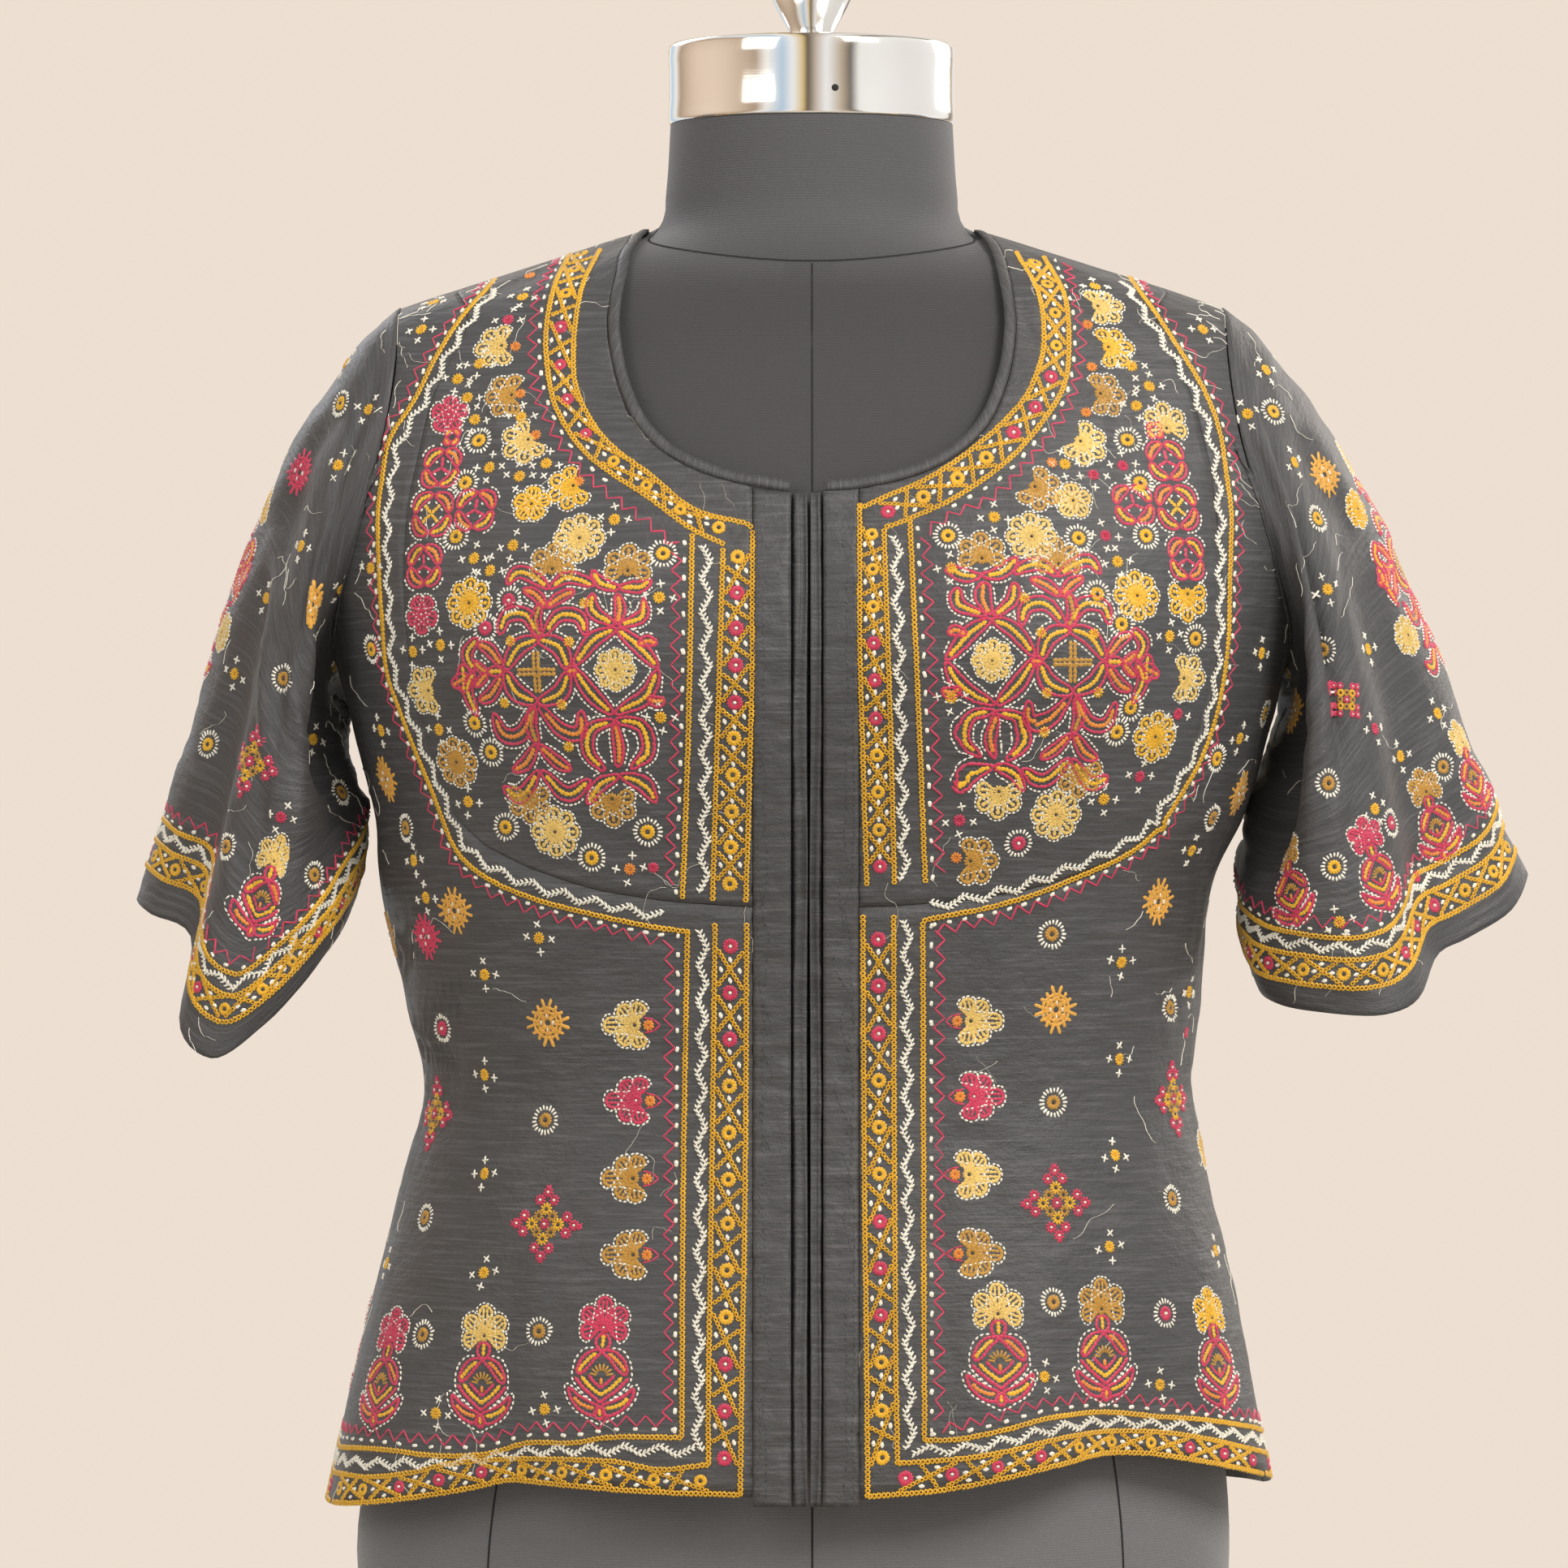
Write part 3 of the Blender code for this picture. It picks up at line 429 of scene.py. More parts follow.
def hem_height(theta):
    return smooth_ring(HEM["angle"][1:], HEM["height"][1:] * MM, turn_between(np.degrees(theta), 0))


def resampled(curve, steps):
    """A (theta, z) polyline cut into steps of equal length on the blouse."""
    lengths = np.linalg.norm(np.diff(blouse_point(curve[:, 0], curve[:, 1]), axis=0), axis=1)
    along = np.concatenate([[0], np.cumsum(lengths)])
    at = np.linspace(0, along[-1], steps + 1)
    return np.stack([np.interp(at, along, curve[:, k]) for k in (0, 1)], axis=1)


def dense(points, n=160):
    """Many places on a smooth curve through a few."""
    points = np.asarray(points, float)
    gaps = np.diff(points, axis=0) * (0.17, 1.0)
    along = np.concatenate([[0], np.cumsum(np.linalg.norm(gaps, axis=1))])
    at = np.linspace(0, along[-1], n)
    return np.stack([smooth(along, points[:, k], at) for k in (0, 1)], axis=1)


def moved(curve, distance):
    """A (theta, z) polyline moved sideways on the blouse, to the left of its own direction."""
    here = blouse_point(curve[:, 0], curve[:, 1])
    out = blouse_normal(curve[:, 0], curve[:, 1])
    return nearest(curve, here + distance * np.cross(out, unit(np.gradient(here, axis=0))))


def nearest(curve, target):
    """The (theta, z) places of the blouse that lie nearest to target points."""
    u, v = curve[:, 0].copy(), curve[:, 1].copy()
    step = 1e-5
    for _ in range(4):
        here = blouse_point(u, v)
        du = (blouse_point(u + step, v) - here) / step
        dv = (blouse_point(u, v + step) - here) / step
        off = target - here
        a, b, c = (du * du).sum(1), (du * dv).sum(1), (dv * dv).sum(1)
        p, q = (du * off).sum(1), (dv * off).sum(1)
        u = u + (c * p - b * q) / (a * c - b * b)
        v = v + (a * q - b * p) / (a * c - b * b)
    return np.stack([u, v], axis=1)


def armhole(angle, side):
    """(theta, z) of the armhole seam: angle 0 is the shoulder, 90 the front, 180 the underarm."""
    angle = np.asarray(angle, float)
    top = ridge_height(ARMHOLE["out"][-1] * MM)
    middle, half = (top + UNDERARM_HEIGHT) / 2, (top - UNDERARM_HEIGHT) / 2
    z = middle + half * np.cos(np.radians(angle))
    x = smooth(ARMHOLE["height"] * MM, ARMHOLE["out"] * MM, z) * side
    ahead = np.where(angle <= 180, 1, -1)
    theta = theta_at(x, z, ahead)
    theta = np.where(angle % 180 < 1e-6, math.pi / 2 * side, theta)
    return np.stack([theta, z], axis=-1)


def read_points(text):
    """Places of a table, written as x,y with spaces between."""
    return [tuple(float(n) for n in pair.split(",")) for pair in text.split()]


def from_front(points, side):
    """(theta, z) rows of points given as distance from the middle and height."""
    rows = np.array(points, float)
    return np.stack([theta_at(rows[:, 0] * side, rows[:, 1]), rows[:, 1]], axis=1)


def shoulder_seam(x_from, x_to, side, turn=-1):
    """Just before (turn -1) or behind (turn +1) the shoulder ridge."""
    x = np.linspace(x_from, x_to, 40)
    return np.stack([(math.pi / 2 + turn * SEAM_HALF_GAP / x) * side, ridge_height(x)], axis=1)


def neckline_front(side):
    """From the shoulder ridge down to the band's inner edge."""
    start = np.array([[math.pi / 2 * side, ridge_height(NECK_POINT)]])
    rows = np.array(NECKLINE) * MM
    end = (BAND_INNER_EDGE[side], rows[-1, 1] - 1.5 * MM)
    return dense(np.concatenate([start, from_front([*rows, end], side)]))


def neckline():
    """The whole neckline, from the front opening at +X round the back to the one at -X."""
    first, last = neckline_front(1)[::-1], neckline_front(-1)
    turn = np.linspace(0, math.pi, 90)[1:-1]
    top = ridge_height(NECK_POINT)
    dip = (top - BACK_NECK_HEIGHT) * np.sin(turn) ** 2
    behind = np.stack([math.pi / 2 + turn, top - dip], axis=1)
    last[:, 0] += 2 * math.pi
    return np.concatenate([first, behind, last])


def panel_neck_edge(low, high):
    """The panels' edge below the neck binding, between two angles."""
    edge = moved(neckline(), -(BINDING_WIDTH + BINDING_GAP))
    inside = edge[(edge[:, 0] > low) & (edge[:, 0] < high)]
    ends = np.array([[a, np.interp(a, edge[:, 0], edge[:, 1])] for a in (low, high)])
    return np.concatenate([ends[:1], inside, ends[1:]])


def cup_seam(side):
    """The cup seam's places: down the outer side, then along the foot to the opening."""
    start = np.array([[math.pi / 2 * side, ridge_height(CUP_SHOULDER_X)]])
    table = [*(np.array(CUP_SEAM) * MM), (FRONT_EDGE[side], CUP_FOOT_HEIGHT)]
    rows = np.concatenate([start, from_front(table, side)])
    corner = CUP_FOOT_CORNER + 1
    outer = resampled(dense(rows[: corner + 1]), SIDE_ROWS)
    foot = resampled(dense(rows[corner:]), CUP_FOOT_STEPS)
    return np.concatenate([outer, foot[1:]])


def front_edge(side, x, z_from, z_to):
    """The upright line at distance x from the middle."""
    z = np.linspace(z_from, z_to, 60)
    return np.stack([theta_at(x * side, z), z], axis=1)


def patch_between(first, last, left, right):
    """Places between four edges: rows run from first to last, columns from left to right."""
    left, right = left.copy(), right.copy()
    left[0], left[-1], right[0], right[-1] = first[0], last[0], first[-1], last[-1]
    s = np.linspace(0, 1, len(first))[None, :, None]
    t = np.linspace(0, 1, len(left))[:, None, None]
    across = (1 - t) * first[None] + t * last[None]
    along = (1 - s) * left[:, None] + s * right[:, None]
    ends = (1 - t) * ((1 - s) * left[0] + s * right[0]) + t * ((1 - s) * left[-1] + s * right[-1])
    return across + along - ends


def waves(u, v, size, seed, count=12):
    """Smooth uneven waves between about -1 and 1, with crests about size apart."""
    rng = np.random.default_rng(seed)
    total = 0.0
    for _ in range(count):
        turn, phase = rng.uniform(0, 2 * math.pi, 2)
        k = 2 * math.pi / (size * rng.uniform(0.7, 1.6))
        total = total + np.cos(k * (u * math.cos(turn) + v * math.sin(turn)) + phase)
    return total / math.sqrt(count)


def trough(u, v, row):
    """One crease: a soft trough with a ridge beside it."""
    tilt = math.radians(row["tilt"])
    along = (u * math.cos(tilt) + v * math.sin(tilt)) / (row["length"] * MM)
    across = (v * math.cos(tilt) - u * math.sin(tilt)) / (row["width"] * MM)
    bend = across + 0.8 * along**2
    shape = 0.6 * np.exp(-((bend - 1.9) ** 2)) - np.exp(-(bend**2))
    return row["depth"] * MM * shape * np.exp(-(along**2))


def body_creases(theta, z):
    around = theta * SIDE_RADIUS
    total = 0.35 * MM * waves(around, z, 34 * MM, 3) + 0.14 * MM * waves(around, z, 13 * MM, 4)
    for row in BODY_CREASES:
        offset = turn_between(np.degrees(theta), row["angle"]) * math.pi / 180 * SIDE_RADIUS
        total = total + trough(offset, z - row["height"] * MM, row)
    x = np.abs(np.sin(theta) * SIDE_RADIUS * 0.66)
    at_band = ramp((27 * MM - x) / (6 * MM)) * (np.cos(theta) > 0) * ramp((0.55 - z) / 0.02)
    puckers = waves(around * 0.15, z, 8.5 * MM, 8, 7) + 0.5 * waves(around, z, 5 * MM, 9, 7)
    return total + 0.27 * MM * puckers * at_band


def raised(patch, height=0.0):
    """Points of the blouse's outer face, with its creases."""
    theta, z = patch[..., 0], patch[..., 1]
    lift = height + body_creases(theta, z)
    return blouse_point(theta, z) + lift[..., None] * blouse_normal(theta, z)


HEX = {
    "yellow": "#EDB41A", "gold": "#C08D2E", "light gold": "#E6C168", "cream": "#F6EFDD",
    "crimson": "#CE2F55", "charcoal": "#3A3B3E", "orange": "#E58A2B", "amber": "#E3A63C",
}


def linear(code):
    """An sRGB code as linear red, green, blue and alpha."""
    srgb = [int(code[i : i + 2], 16) / 255 for i in (1, 3, 5)]
    return (*(c / 12.92 if c <= 0.04045 else ((c + 0.055) / 1.055) ** 2.4 for c in srgb), 1)


def add_node(tree, kind, out, links=None, stops=None, **settings):
    """Adds a shader node and gives back one of its outputs. links names its inputs and what goes
    in: a number, a colour or a socket. stops are the (place, colour) rows of a ramp."""
    node = tree.nodes.new("ShaderNode" + kind)
    for key, value in settings.items():
        setattr(node, key, value)
    if stops:
        elements = node.color_ramp.elements
        for at, _ in stops[2:]:
            elements.new(at)
        for element, (at, code) in zip(elements, stops):
            element.position, element.color = at, linear(code)
    for key, value in (links or {}).items():
        if isinstance(value, bpy.types.NodeSocket):
            tree.links.new(value, node.inputs[key])
        else:
            node.inputs[key].default_value = value
    return node.outputs[out]


def per_mm(*sizes):
    """Scales of a pattern whose grains have these sizes in millimetres: grains in a metre."""
    return [round(1000 / size) for size in sizes]


class Material:
    """A Principled material and its nodes."""

    def __init__(self, name, **values):
        self.data = bpy.data.materials.new(name)
        self.data.use_nodes = True
        self.tree = self.data.node_tree
        self.shader = self.tree.nodes["Principled BSDF"]
        for key, value in values.items():
            self.shader.inputs[key.replace("_", " ")].default_value = value

    def add(self, *words, **settings):
        return add_node(self.tree, *words, **settings)

    def use(self, **sockets):
        for key, socket in sockets.items():
            self.tree.links.new(socket, self.shader.inputs[key.replace("_", " ")])
        return self.data


def silk_material():
    """Black dupion silk, hand woven: uneven weft threads give slubs along the cloth's width, and
    the plain weave a fine grain with a low sheen."""
    m = Material("black slub silk", Roughness=0.5, Sheen_Weight=0.24, Sheen_Roughness=0.4,
                 Sheen_Tint=linear("#A09D98"), Specular_IOR_Level=0.45)
    cut, grain = m.add("UVMap", "UV", uv_map="cut"), {}
    # Sizes along and across the weft. Threads of 0.2 mm are drawn coarser, so that they show.
    for name, along, across, detail, roughness in (
        ("weft", 23.8, 0.6667, 2.0, 0.5), ("slub", 38.5, 1.786, 4.0, 0.6),
        ("warp", 0.5882, 16.7, 1.0, 0.5), ("crumple", 8.33, 5.26, 5.0, 0.66),
    ):
        at = m.add("Mapping", "Vector", {"Vector": cut, "Scale": per_mm(along, across, 1000)})
        grain[name] = m.add("TexNoise", "Fac", {
            "Vector": at, "Scale": 1.0, "Detail": detail, "Roughness": roughness})
    wear = m.add("TexNoise", "Fac", {
        "Vector": m.add("TexCoord", "Object"), "Scale": 9.0, "Detail": 3.0, "Roughness": 0.5})
    base = m.add("Mix", 2, {0: grain["weft"], 6: linear("#2A2A2C"), 7: linear("#504F4F")},
                 data_type="RGBA")
    for value, stops, colour in (
        (grain["warp"], [(0.4, "#000000"), (0.8, "#4A4A4A")], "#5B5A5B"),
        (grain["slub"], [(0.50, "#000000"), (0.72, "#FFFFFF")], "#59585A"),
        (wear, [(0.35, "#000000"), (0.75, "#6A6A6A")], "#343436"),
    ):
        share = m.add("ValToRGB", "Color", {"Fac": value}, stops)
        base = m.add("Mix", 2, {0: share, 6: base, 7: linear(colour)}, data_type="RGBA")
    normal = m.add("Bump", "Normal", {
        "Height": grain["weft"], "Strength": 0.35, "Distance": 0.3 * MM})
    for name, strength, depth in (("slub", 0.42, 0.5), ("crumple", 0.62, 1.8)):
        normal = m.add("Bump", "Normal", {
            "Height": grain[name], "Strength": strength, "Distance": depth * MM, "Normal": normal})
    return m.use(Base_Color=base, Normal=normal)


def thread_material(name):
    """Untwisted silk floss, dyed and sewn by hand: a soft gloss, broken by its fibres."""
    m = Material(f"{name} floss", Roughness=0.48, Sheen_Weight=0.3)
    where, colour = m.add("TexCoord", "Object"), linear(HEX[name])
    # Fibres of 0.02 mm are drawn 0.7 mm thick, so that they show; the dye varies over 18 mm
    fibres = m.add("TexNoise", "Fac", {
        "Vector": where, "Scale": 1400.0, "Detail": 2.0, "Roughness": 0.5})
    dye = m.add("TexNoise", "Fac", {
        "Vector": where, "Scale": 55.0, "Detail": 1.0, "Roughness": 0.5})
    dark = tuple(c * 0.62 for c in colour[:3]) + (1,)
    light = tuple(min(1.0, c * 1.22) for c in colour[:3]) + (1,)
    lit = m.add("ValToRGB", "Color", {"Fac": fibres}, [(0.3, "#000000"), (0.62, "#FFFFFF")])
    faded = m.add("ValToRGB", "Color", {"Fac": dye}, [(0.35, "#000000"), (0.75, "#AAAAAA")])
    base = m.add("Mix", 2, {0: lit, 6: dark, 7: colour}, data_type="RGBA")
    base = m.add("Mix", 2, {0: faded, 6: base, 7: light}, data_type="RGBA")
    normal = m.add("Bump", "Normal", {"Height": fibres, "Strength": 0.5, "Distance": 0.2 * MM})
    return m.use(Base_Color=base, Normal=normal)


def jersey_material():
    """Dark grey cotton jersey, knitted: fine ribs run round the form under a dull fluff."""
    m = Material("grey ribbed jersey", Roughness=0.82, Sheen_Weight=0.25)
    where = m.add("TexCoord", "Object")
    # A wave's bands lie 2 pi / 20 apart at scale 1
    ribs = m.add("TexWave", "Fac", {
        "Vector": where, "Scale": math.tau / (20 * RIB_PITCH), "Distortion": 0.5, "Detail": 1.0,
        "Detail Scale": 0.4}, bands_direction="Z")
    at = m.add("Mapping", "Vector", {"Vector": where, "Scale": per_mm(1.111, 1.111, 0.7143)})
    fluff = m.add("TexNoise", "Fac", {
        "Vector": at, "Scale": 1.0, "Detail": 2.0, "Roughness": 0.5})
    dust = m.add("TexNoise", "Fac", {
        "Vector": where, "Scale": 12.0, "Detail": 2.0, "Roughness": 0.5})
    base = m.add("Mix", 2, {0: ribs, 6: linear("#4A494A"), 7: linear("#616062")},
                 data_type="RGBA")
    for value, stops, colour in (
        (fluff, [(0.45, "#000000"), (0.8, "#888888")], "#707075"),
        (dust, [(0.4, "#000000"), (0.8, "#444444")], "#333436"),
    ):
        share = m.add("ValToRGB", "Color", {"Fac": value}, stops)
        base = m.add("Mix", 2, {0: share, 6: base, 7: linear(colour)}, data_type="RGBA")
    # Painted shade by height: the cover is darkest round the chest inside the neckline and a little
    # less dark at the neck, and it is paler towards the foot below the blouse
    height = m.add("SeparateXYZ", "Z", {"Vector": where})
    painted_shade_by_height = m.add("ValToRGB", "Color", {"Fac": height}, [
        (0.12, "#E6E6E6"), (0.30, "#A09E9F"), (0.62, "#7C7A7A"), (0.655, "#B1B0B1")])
    base = m.add("Mix", 2, {0: 1.0, 6: base, 7: painted_shade_by_height}, data_type="RGBA", blend_type="OVERLAY")
    normal = m.add("Bump", "Normal", {"Height": ribs, "Strength": 0.3, "Distance": 0.3 * MM})
    normal = m.add("Bump", "Normal", {
        "Height": fluff, "Strength": 0.25, "Distance": 0.3 * MM, "Normal": normal})
    return m.use(Base_Color=base, Normal=normal)


def chrome_material():
    """Chrome-plated steel, polished: a clear mirror with a few smears and spun scratches."""
    m = Material("polished chrome", Metallic=1.0, Roughness=0.09)
    where, grain = m.add("TexCoord", "Object"), []
    for sizes, detail in (((50, 50, 125), 3.0), ((16.7, 16.7, 0.6667), 2.0)):
        at = m.add("Mapping", "Vector", {"Vector": where, "Scale": per_mm(*sizes)})
        grain.append(m.add("TexNoise", "Fac", {
            "Vector": at, "Scale": 1.0, "Detail": detail, "Roughness": 0.5}))
    smear, scratch = grain
    base = m.add("Mix", 2, {0: smear, 6: linear("#DEDCD8"), 7: linear("#FAF9F7")},
                 data_type="RGBA")
    rough = m.add("MapRange", "Result", {"Value": smear, "To Min": 0.05, "To Max": 0.16})
    normal = m.add("Bump", "Normal", {"Height": scratch, "Strength": 0.06, "Distance": 0.2 * MM})
    return m.use(Base_Color=base, Roughness=rough, Normal=normal)


def board_material():
    """Fibreboard, painted near black by brush: dull, with the brush's lines."""
    m = Material("dark painted board", Roughness=0.55)
    at = m.add("Mapping", "Vector", {
        "Vector": m.add("TexCoord", "Object"), "Scale": per_mm(33.3, 2.5, 2.5)})
    grain = m.add("TexNoise", "Fac", {
        "Vector": at, "Scale": 1.0, "Detail": 4.0, "Roughness": 0.5})
    base = m.add("Mix", 2, {0: grain, 6: linear("#161514"), 7: linear("#2E2B28")},
                 data_type="RGBA")
    normal = m.add("Bump", "Normal", {"Height": grain, "Strength": 0.3, "Distance": 0.4 * MM})
    return m.use(Base_Color=base, Normal=normal)


def flat_material(name, size, detail, dark, light):
    """A dull material with faint clouds of one size in millimetres."""
    m = Material(name, Roughness=0.9)
    cloud = m.add("TexNoise", "Fac", {
        "Vector": m.add("TexCoord", "Object"), "Scale": per_mm(size)[0], "Detail": detail,
        "Roughness": 0.5})
    return m.use(Base_Color=m.add("Mix", 2, {0: cloud, 6: linear(dark), 7: linear(light)},
                                  data_type="RGBA"))


def mesh_object(name, vertices, faces, material, smooth_faces=True):
    mesh = bpy.data.meshes.new(name)
    mesh.from_pydata(np.asarray(vertices).tolist(), [], np.asarray(faces).tolist())
    if smooth_faces:
        mesh.shade_smooth()
    mesh.materials.append(material)
    obj = bpy.data.objects.new(name, mesh)
    bpy.context.scene.collection.objects.link(obj)
    return obj


def grid_faces(rows, columns, wrap):
    """Quads of a grid whose points are numbered along each row."""
    wide = columns if wrap else columns - 1
    r, c = np.meshgrid(np.arange(rows - 1), np.arange(wide), indexing="ij")
    nxt = (c + 1) % columns
    quads = [r * columns + c, r * columns + nxt, (r + 1) * columns + nxt, (r + 1) * columns + c]
    return np.stack(quads, axis=-1).reshape(-1, 4)


def outward_faces(points, faces, middle):
    """The faces, turned so that they look away from the middle."""
    a, b, c = points[faces[:, 0]], points[faces[:, 1]], points[faces[:, 2]]
    normals = np.cross(b - a, c - a)
    away = (normals * ((a + b + c) / 3 - middle)).sum()
    return faces if away > 0 else faces[:, ::-1]


# What the cloths and stitches leave for later steps
CLOTHS, SLEEVE_GRIDS, STITCHES = {}, {}, {}


def shell(name, points, cut, material, region, thickness=SHELL_THICK, wrap=False):
    """A cloth piece through a grid of outer points; cut holds each point's place on the cloth."""
    rows, columns = points.shape[:2]
    keep = columns - 1 if wrap else columns
    flat = points[:, :keep].reshape(-1, 3)
    middle = flat.mean(axis=0) if wrap else np.array([0, 0, 0.35])
    faces = outward_faces(flat, grid_faces(rows, keep, wrap), middle)
    obj = mesh_object(name, flat, faces, material)
    layer = obj.data.uv_layers.new(name="cut")
    loops = faces.ravel()
    r, c = loops // keep, loops % keep
    if wrap:
        at_seam = (faces % keep).max(axis=1) - (faces % keep).min(axis=1) > 1
        c = np.where(np.repeat(at_seam, 4) & (c == 0), keep, c)
    layer.data.foreach_set("uv", cut[r, c].astype(np.float32).ravel())
    wall = obj.modifiers.new("wall", "SOLIDIFY")
    wall.thickness = thickness
    wall.offset = -1
    CLOTHS.setdefault(region, []).append((flat, faces))
    return obj


def body_cut(patch):
    return np.stack([patch[..., 0] * SIDE_RADIUS, patch[..., 1]], axis=-1)


SIDE_WORD = {-1: "right", 1: "left"}


def make_cup(side, silk):
    seam = moved(cup_seam(side), -side * SEAM_HALF_GAP)
    outer, foot = seam[: SIDE_ROWS + 1], seam[SIDE_ROWS:][::-1]
    x = FRONT_EDGE[side]
    ridge = math.pi / 2 - SEAM_HALF_GAP / NECK_POINT
    angle = abs(theta_at(x * side, NECKLINE[-1][1] * MM))
    if side > 0:
        neck = panel_neck_edge(angle, ridge)[::-1]
    else:
        neck = panel_neck_edge(2 * math.pi - ridge, 2 * math.pi - angle) - (2 * math.pi, 0)
    upper_rows = SIDE_ROWS // 2
    upper = resampled(neck, upper_rows)
    lower = resampled(front_edge(side, x, neck[-1, 1], foot[0, 1]), SIDE_ROWS - upper_rows)
    inner = np.concatenate([upper, lower[1:]])
    neck_x = abs(blouse_point(*neck[0])[0])
    top = resampled(shoulder_seam(neck_x, CUP_SHOULDER_X - SEAM_HALF_GAP, side), CUP_FOOT_STEPS)
    patch = patch_between(top, foot, inner, outer)
    obj = shell(f"silk_cup_{SIDE_WORD[side]}", raised(patch), body_cut(patch), silk, "body")
    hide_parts(f"cup_{SIDE_WORD[side]}")
    return obj


def make_front(side, silk):
    seam = moved(cup_seam(side), side * SEAM_HALF_GAP)
    arm = armhole(np.linspace(0, 180, ARMHOLE_STEPS + 1), side)
    seam_angle = (math.pi / 2 - SEAM_HALF_GAP / SIDE_RADIUS) * side
    side_z = np.linspace(UNDERARM_HEIGHT, hem_height(seam_angle), SIDE_STEPS + 1)
    down = np.stack([np.full_like(side_z, seam_angle), side_z], axis=1)
    x = FRONT_EDGE[side]
    angles = np.linspace(seam_angle, theta_at(x * side, hem_height(0.2 * side)), 200)
    hem = resampled(np.stack([angles, hem_height(angles)], axis=1), CUP_FOOT_STEPS)
    outer = np.concatenate([arm, down[1:], hem[1:]])
    outer[[0, ARMHOLE_STEPS], 0] = seam_angle
    shoulder = shoulder_seam(CUP_SHOULDER_X + SEAM_HALF_GAP, ARMHOLE["out"][-1] * MM, side)
    top = resampled(shoulder, FRONT_ACROSS)
    edge = resampled(front_edge(side, x, seam[-1, 1], hem[-1, 1]), FRONT_ACROSS)
    patch = patch_between(top, edge, seam, outer)
    obj = shell(f"silk_front_{SIDE_WORD[side]}", raised(patch), body_cut(patch), silk, "body")
    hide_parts(f"front_{SIDE_WORD[side]}")
    return obj


def make_back(silk):
    turn = SEAM_HALF_GAP / SIDE_RADIUS
    seam_angles = (math.pi / 2 + turn, 3 * math.pi / 2 - turn)
    edges = []
    for side, seam_angle in zip((1, -1), seam_angles):
        z = np.linspace(UNDERARM_HEIGHT, hem_height(seam_angle), SIDE_STEPS + 1)
        down = np.stack([np.full_like(z, seam_angle), z], axis=1)
        arm = armhole(np.linspace(360, 180, ARMHOLE_STEPS + 1), side)
        arm[:, 0] %= 2 * math.pi
        arm[[0, -1], 0] = seam_angle
        edges.append(np.concatenate([arm, down[1:]]))
    ridge = math.pi / 2 + SEAM_HALF_GAP / NECK_POINT
    neck = panel_neck_edge(ridge, 2 * math.pi - ridge)
    tip, neck_x = ARMHOLE["out"][-1] * MM, abs(blouse_point(*neck[0])[0])
    near = resampled(shoulder_seam(tip, neck_x, 1, turn=1), SHOULDER_STEPS)
    far = resampled(shoulder_seam(neck_x, tip, -1, turn=1), SHOULDER_STEPS)
    far[:, 0] += 2 * math.pi
    top = np.concatenate([near, resampled(neck, NECK_BACK_STEPS)[1:-1], far])
    angles = np.linspace(*seam_angles, 400)
    hem = resampled(np.stack([angles, hem_height(angles)], axis=1), len(top) - 1)
    patch = patch_between(top, hem, *edges)
    obj = shell("silk_back", raised(patch), body_cut(patch), silk, "body")
    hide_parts("back")
    return obj


def make_neck_binding(silk):
    outer = resampled(neckline(), 190)
    lines = [outer] + [moved(outer, -BINDING_WIDTH * share) for share in (0.33, 0.67, 1.0)]
    patch = np.stack(lines)
    points = np.stack([
        raised(line, BAND_RAISE * height)
        for line, height in zip(lines, (0.1, 1.0, 1.0, 0.2))
    ])
    obj = shell("silk_neck_binding", points, body_cut(patch)[..., ::-1], silk, "binding", 1.2 * MM)
    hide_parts("neck_binding")
    return obj


def make_front_strips(side, silk):
    word = SIDE_WORD[side]
    lower = moved(neckline_front(side), side * (BINDING_WIDTH + BINDING_GAP))
    reach = np.abs(blouse_point(lower[:, 0], lower[:, 1])[:, 0])
    near = reach < 2 * FRONT_EDGE[side]
    strips = (
        ("band", BAND_INNER_EDGE[side], FRONT_EDGE[side] - 2 * SEAM_HALF_GAP, 9,
         (0.15, 0.9, 1, 1, 1, 1, 1, 0.9, 0.3), BAND_RAISE, 0.0175),
        ("facing", FACING_INNER_EDGE[side], BAND_INNER_EDGE[side] - 2 * SEAM_HALF_GAP, 7,
         (0.6, -0.2, -1.2, -0.4, 0.7, -0.5, -1.6), FACING_SETBACK, 0.010),
    )
    for name, x_in, x_out, count, profile, height, wide in strips:
        columns, rises = [], []
        for x, rise in zip(np.linspace(x_in, x_out, count), profile):
            top = np.interp(-x, -reach[near], lower[near, 1])
            z = np.linspace(0, 1, 170)
            sway = 0.7 * MM * waves(z * 0.4, z * 0, 90 * MM, 20 + side, 6) * (count < 8)
            line = resampled(front_edge(side, x, top, BAND_BOTTOM), 169)
            sway = sway * min(1.0, 3 * (x_out - x) / (x_out - x_in)) * (x > x_in)
            line[:, 0] += sway / 0.13 * side
            columns.append(line)
            if name == "facing":
                crumple = 0.45 * MM * waves(z * 0.4, z * 0 + x, 30 * MM, 31, 6)
            else:
                crumple = 0.30 * MM * waves(z * 0.4, z * 0 + x * 0.5, 8 * MM, 33 + side, 9)
            rises.append(height * rise + crumple)
        patch = np.stack(columns, axis=1)
        if name == "facing":
            rise = np.stack(rises, axis=1) - 1.0 * MM
        else:
            rise = np.broadcast_to(np.stack(rises, axis=1), patch.shape[:2])
        obj = shell(f"silk_{name}_{word}", raised(patch, rise), body_cut(patch), silk, "bands",
                    0.7 * MM)
        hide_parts(f"{name}_{word}")


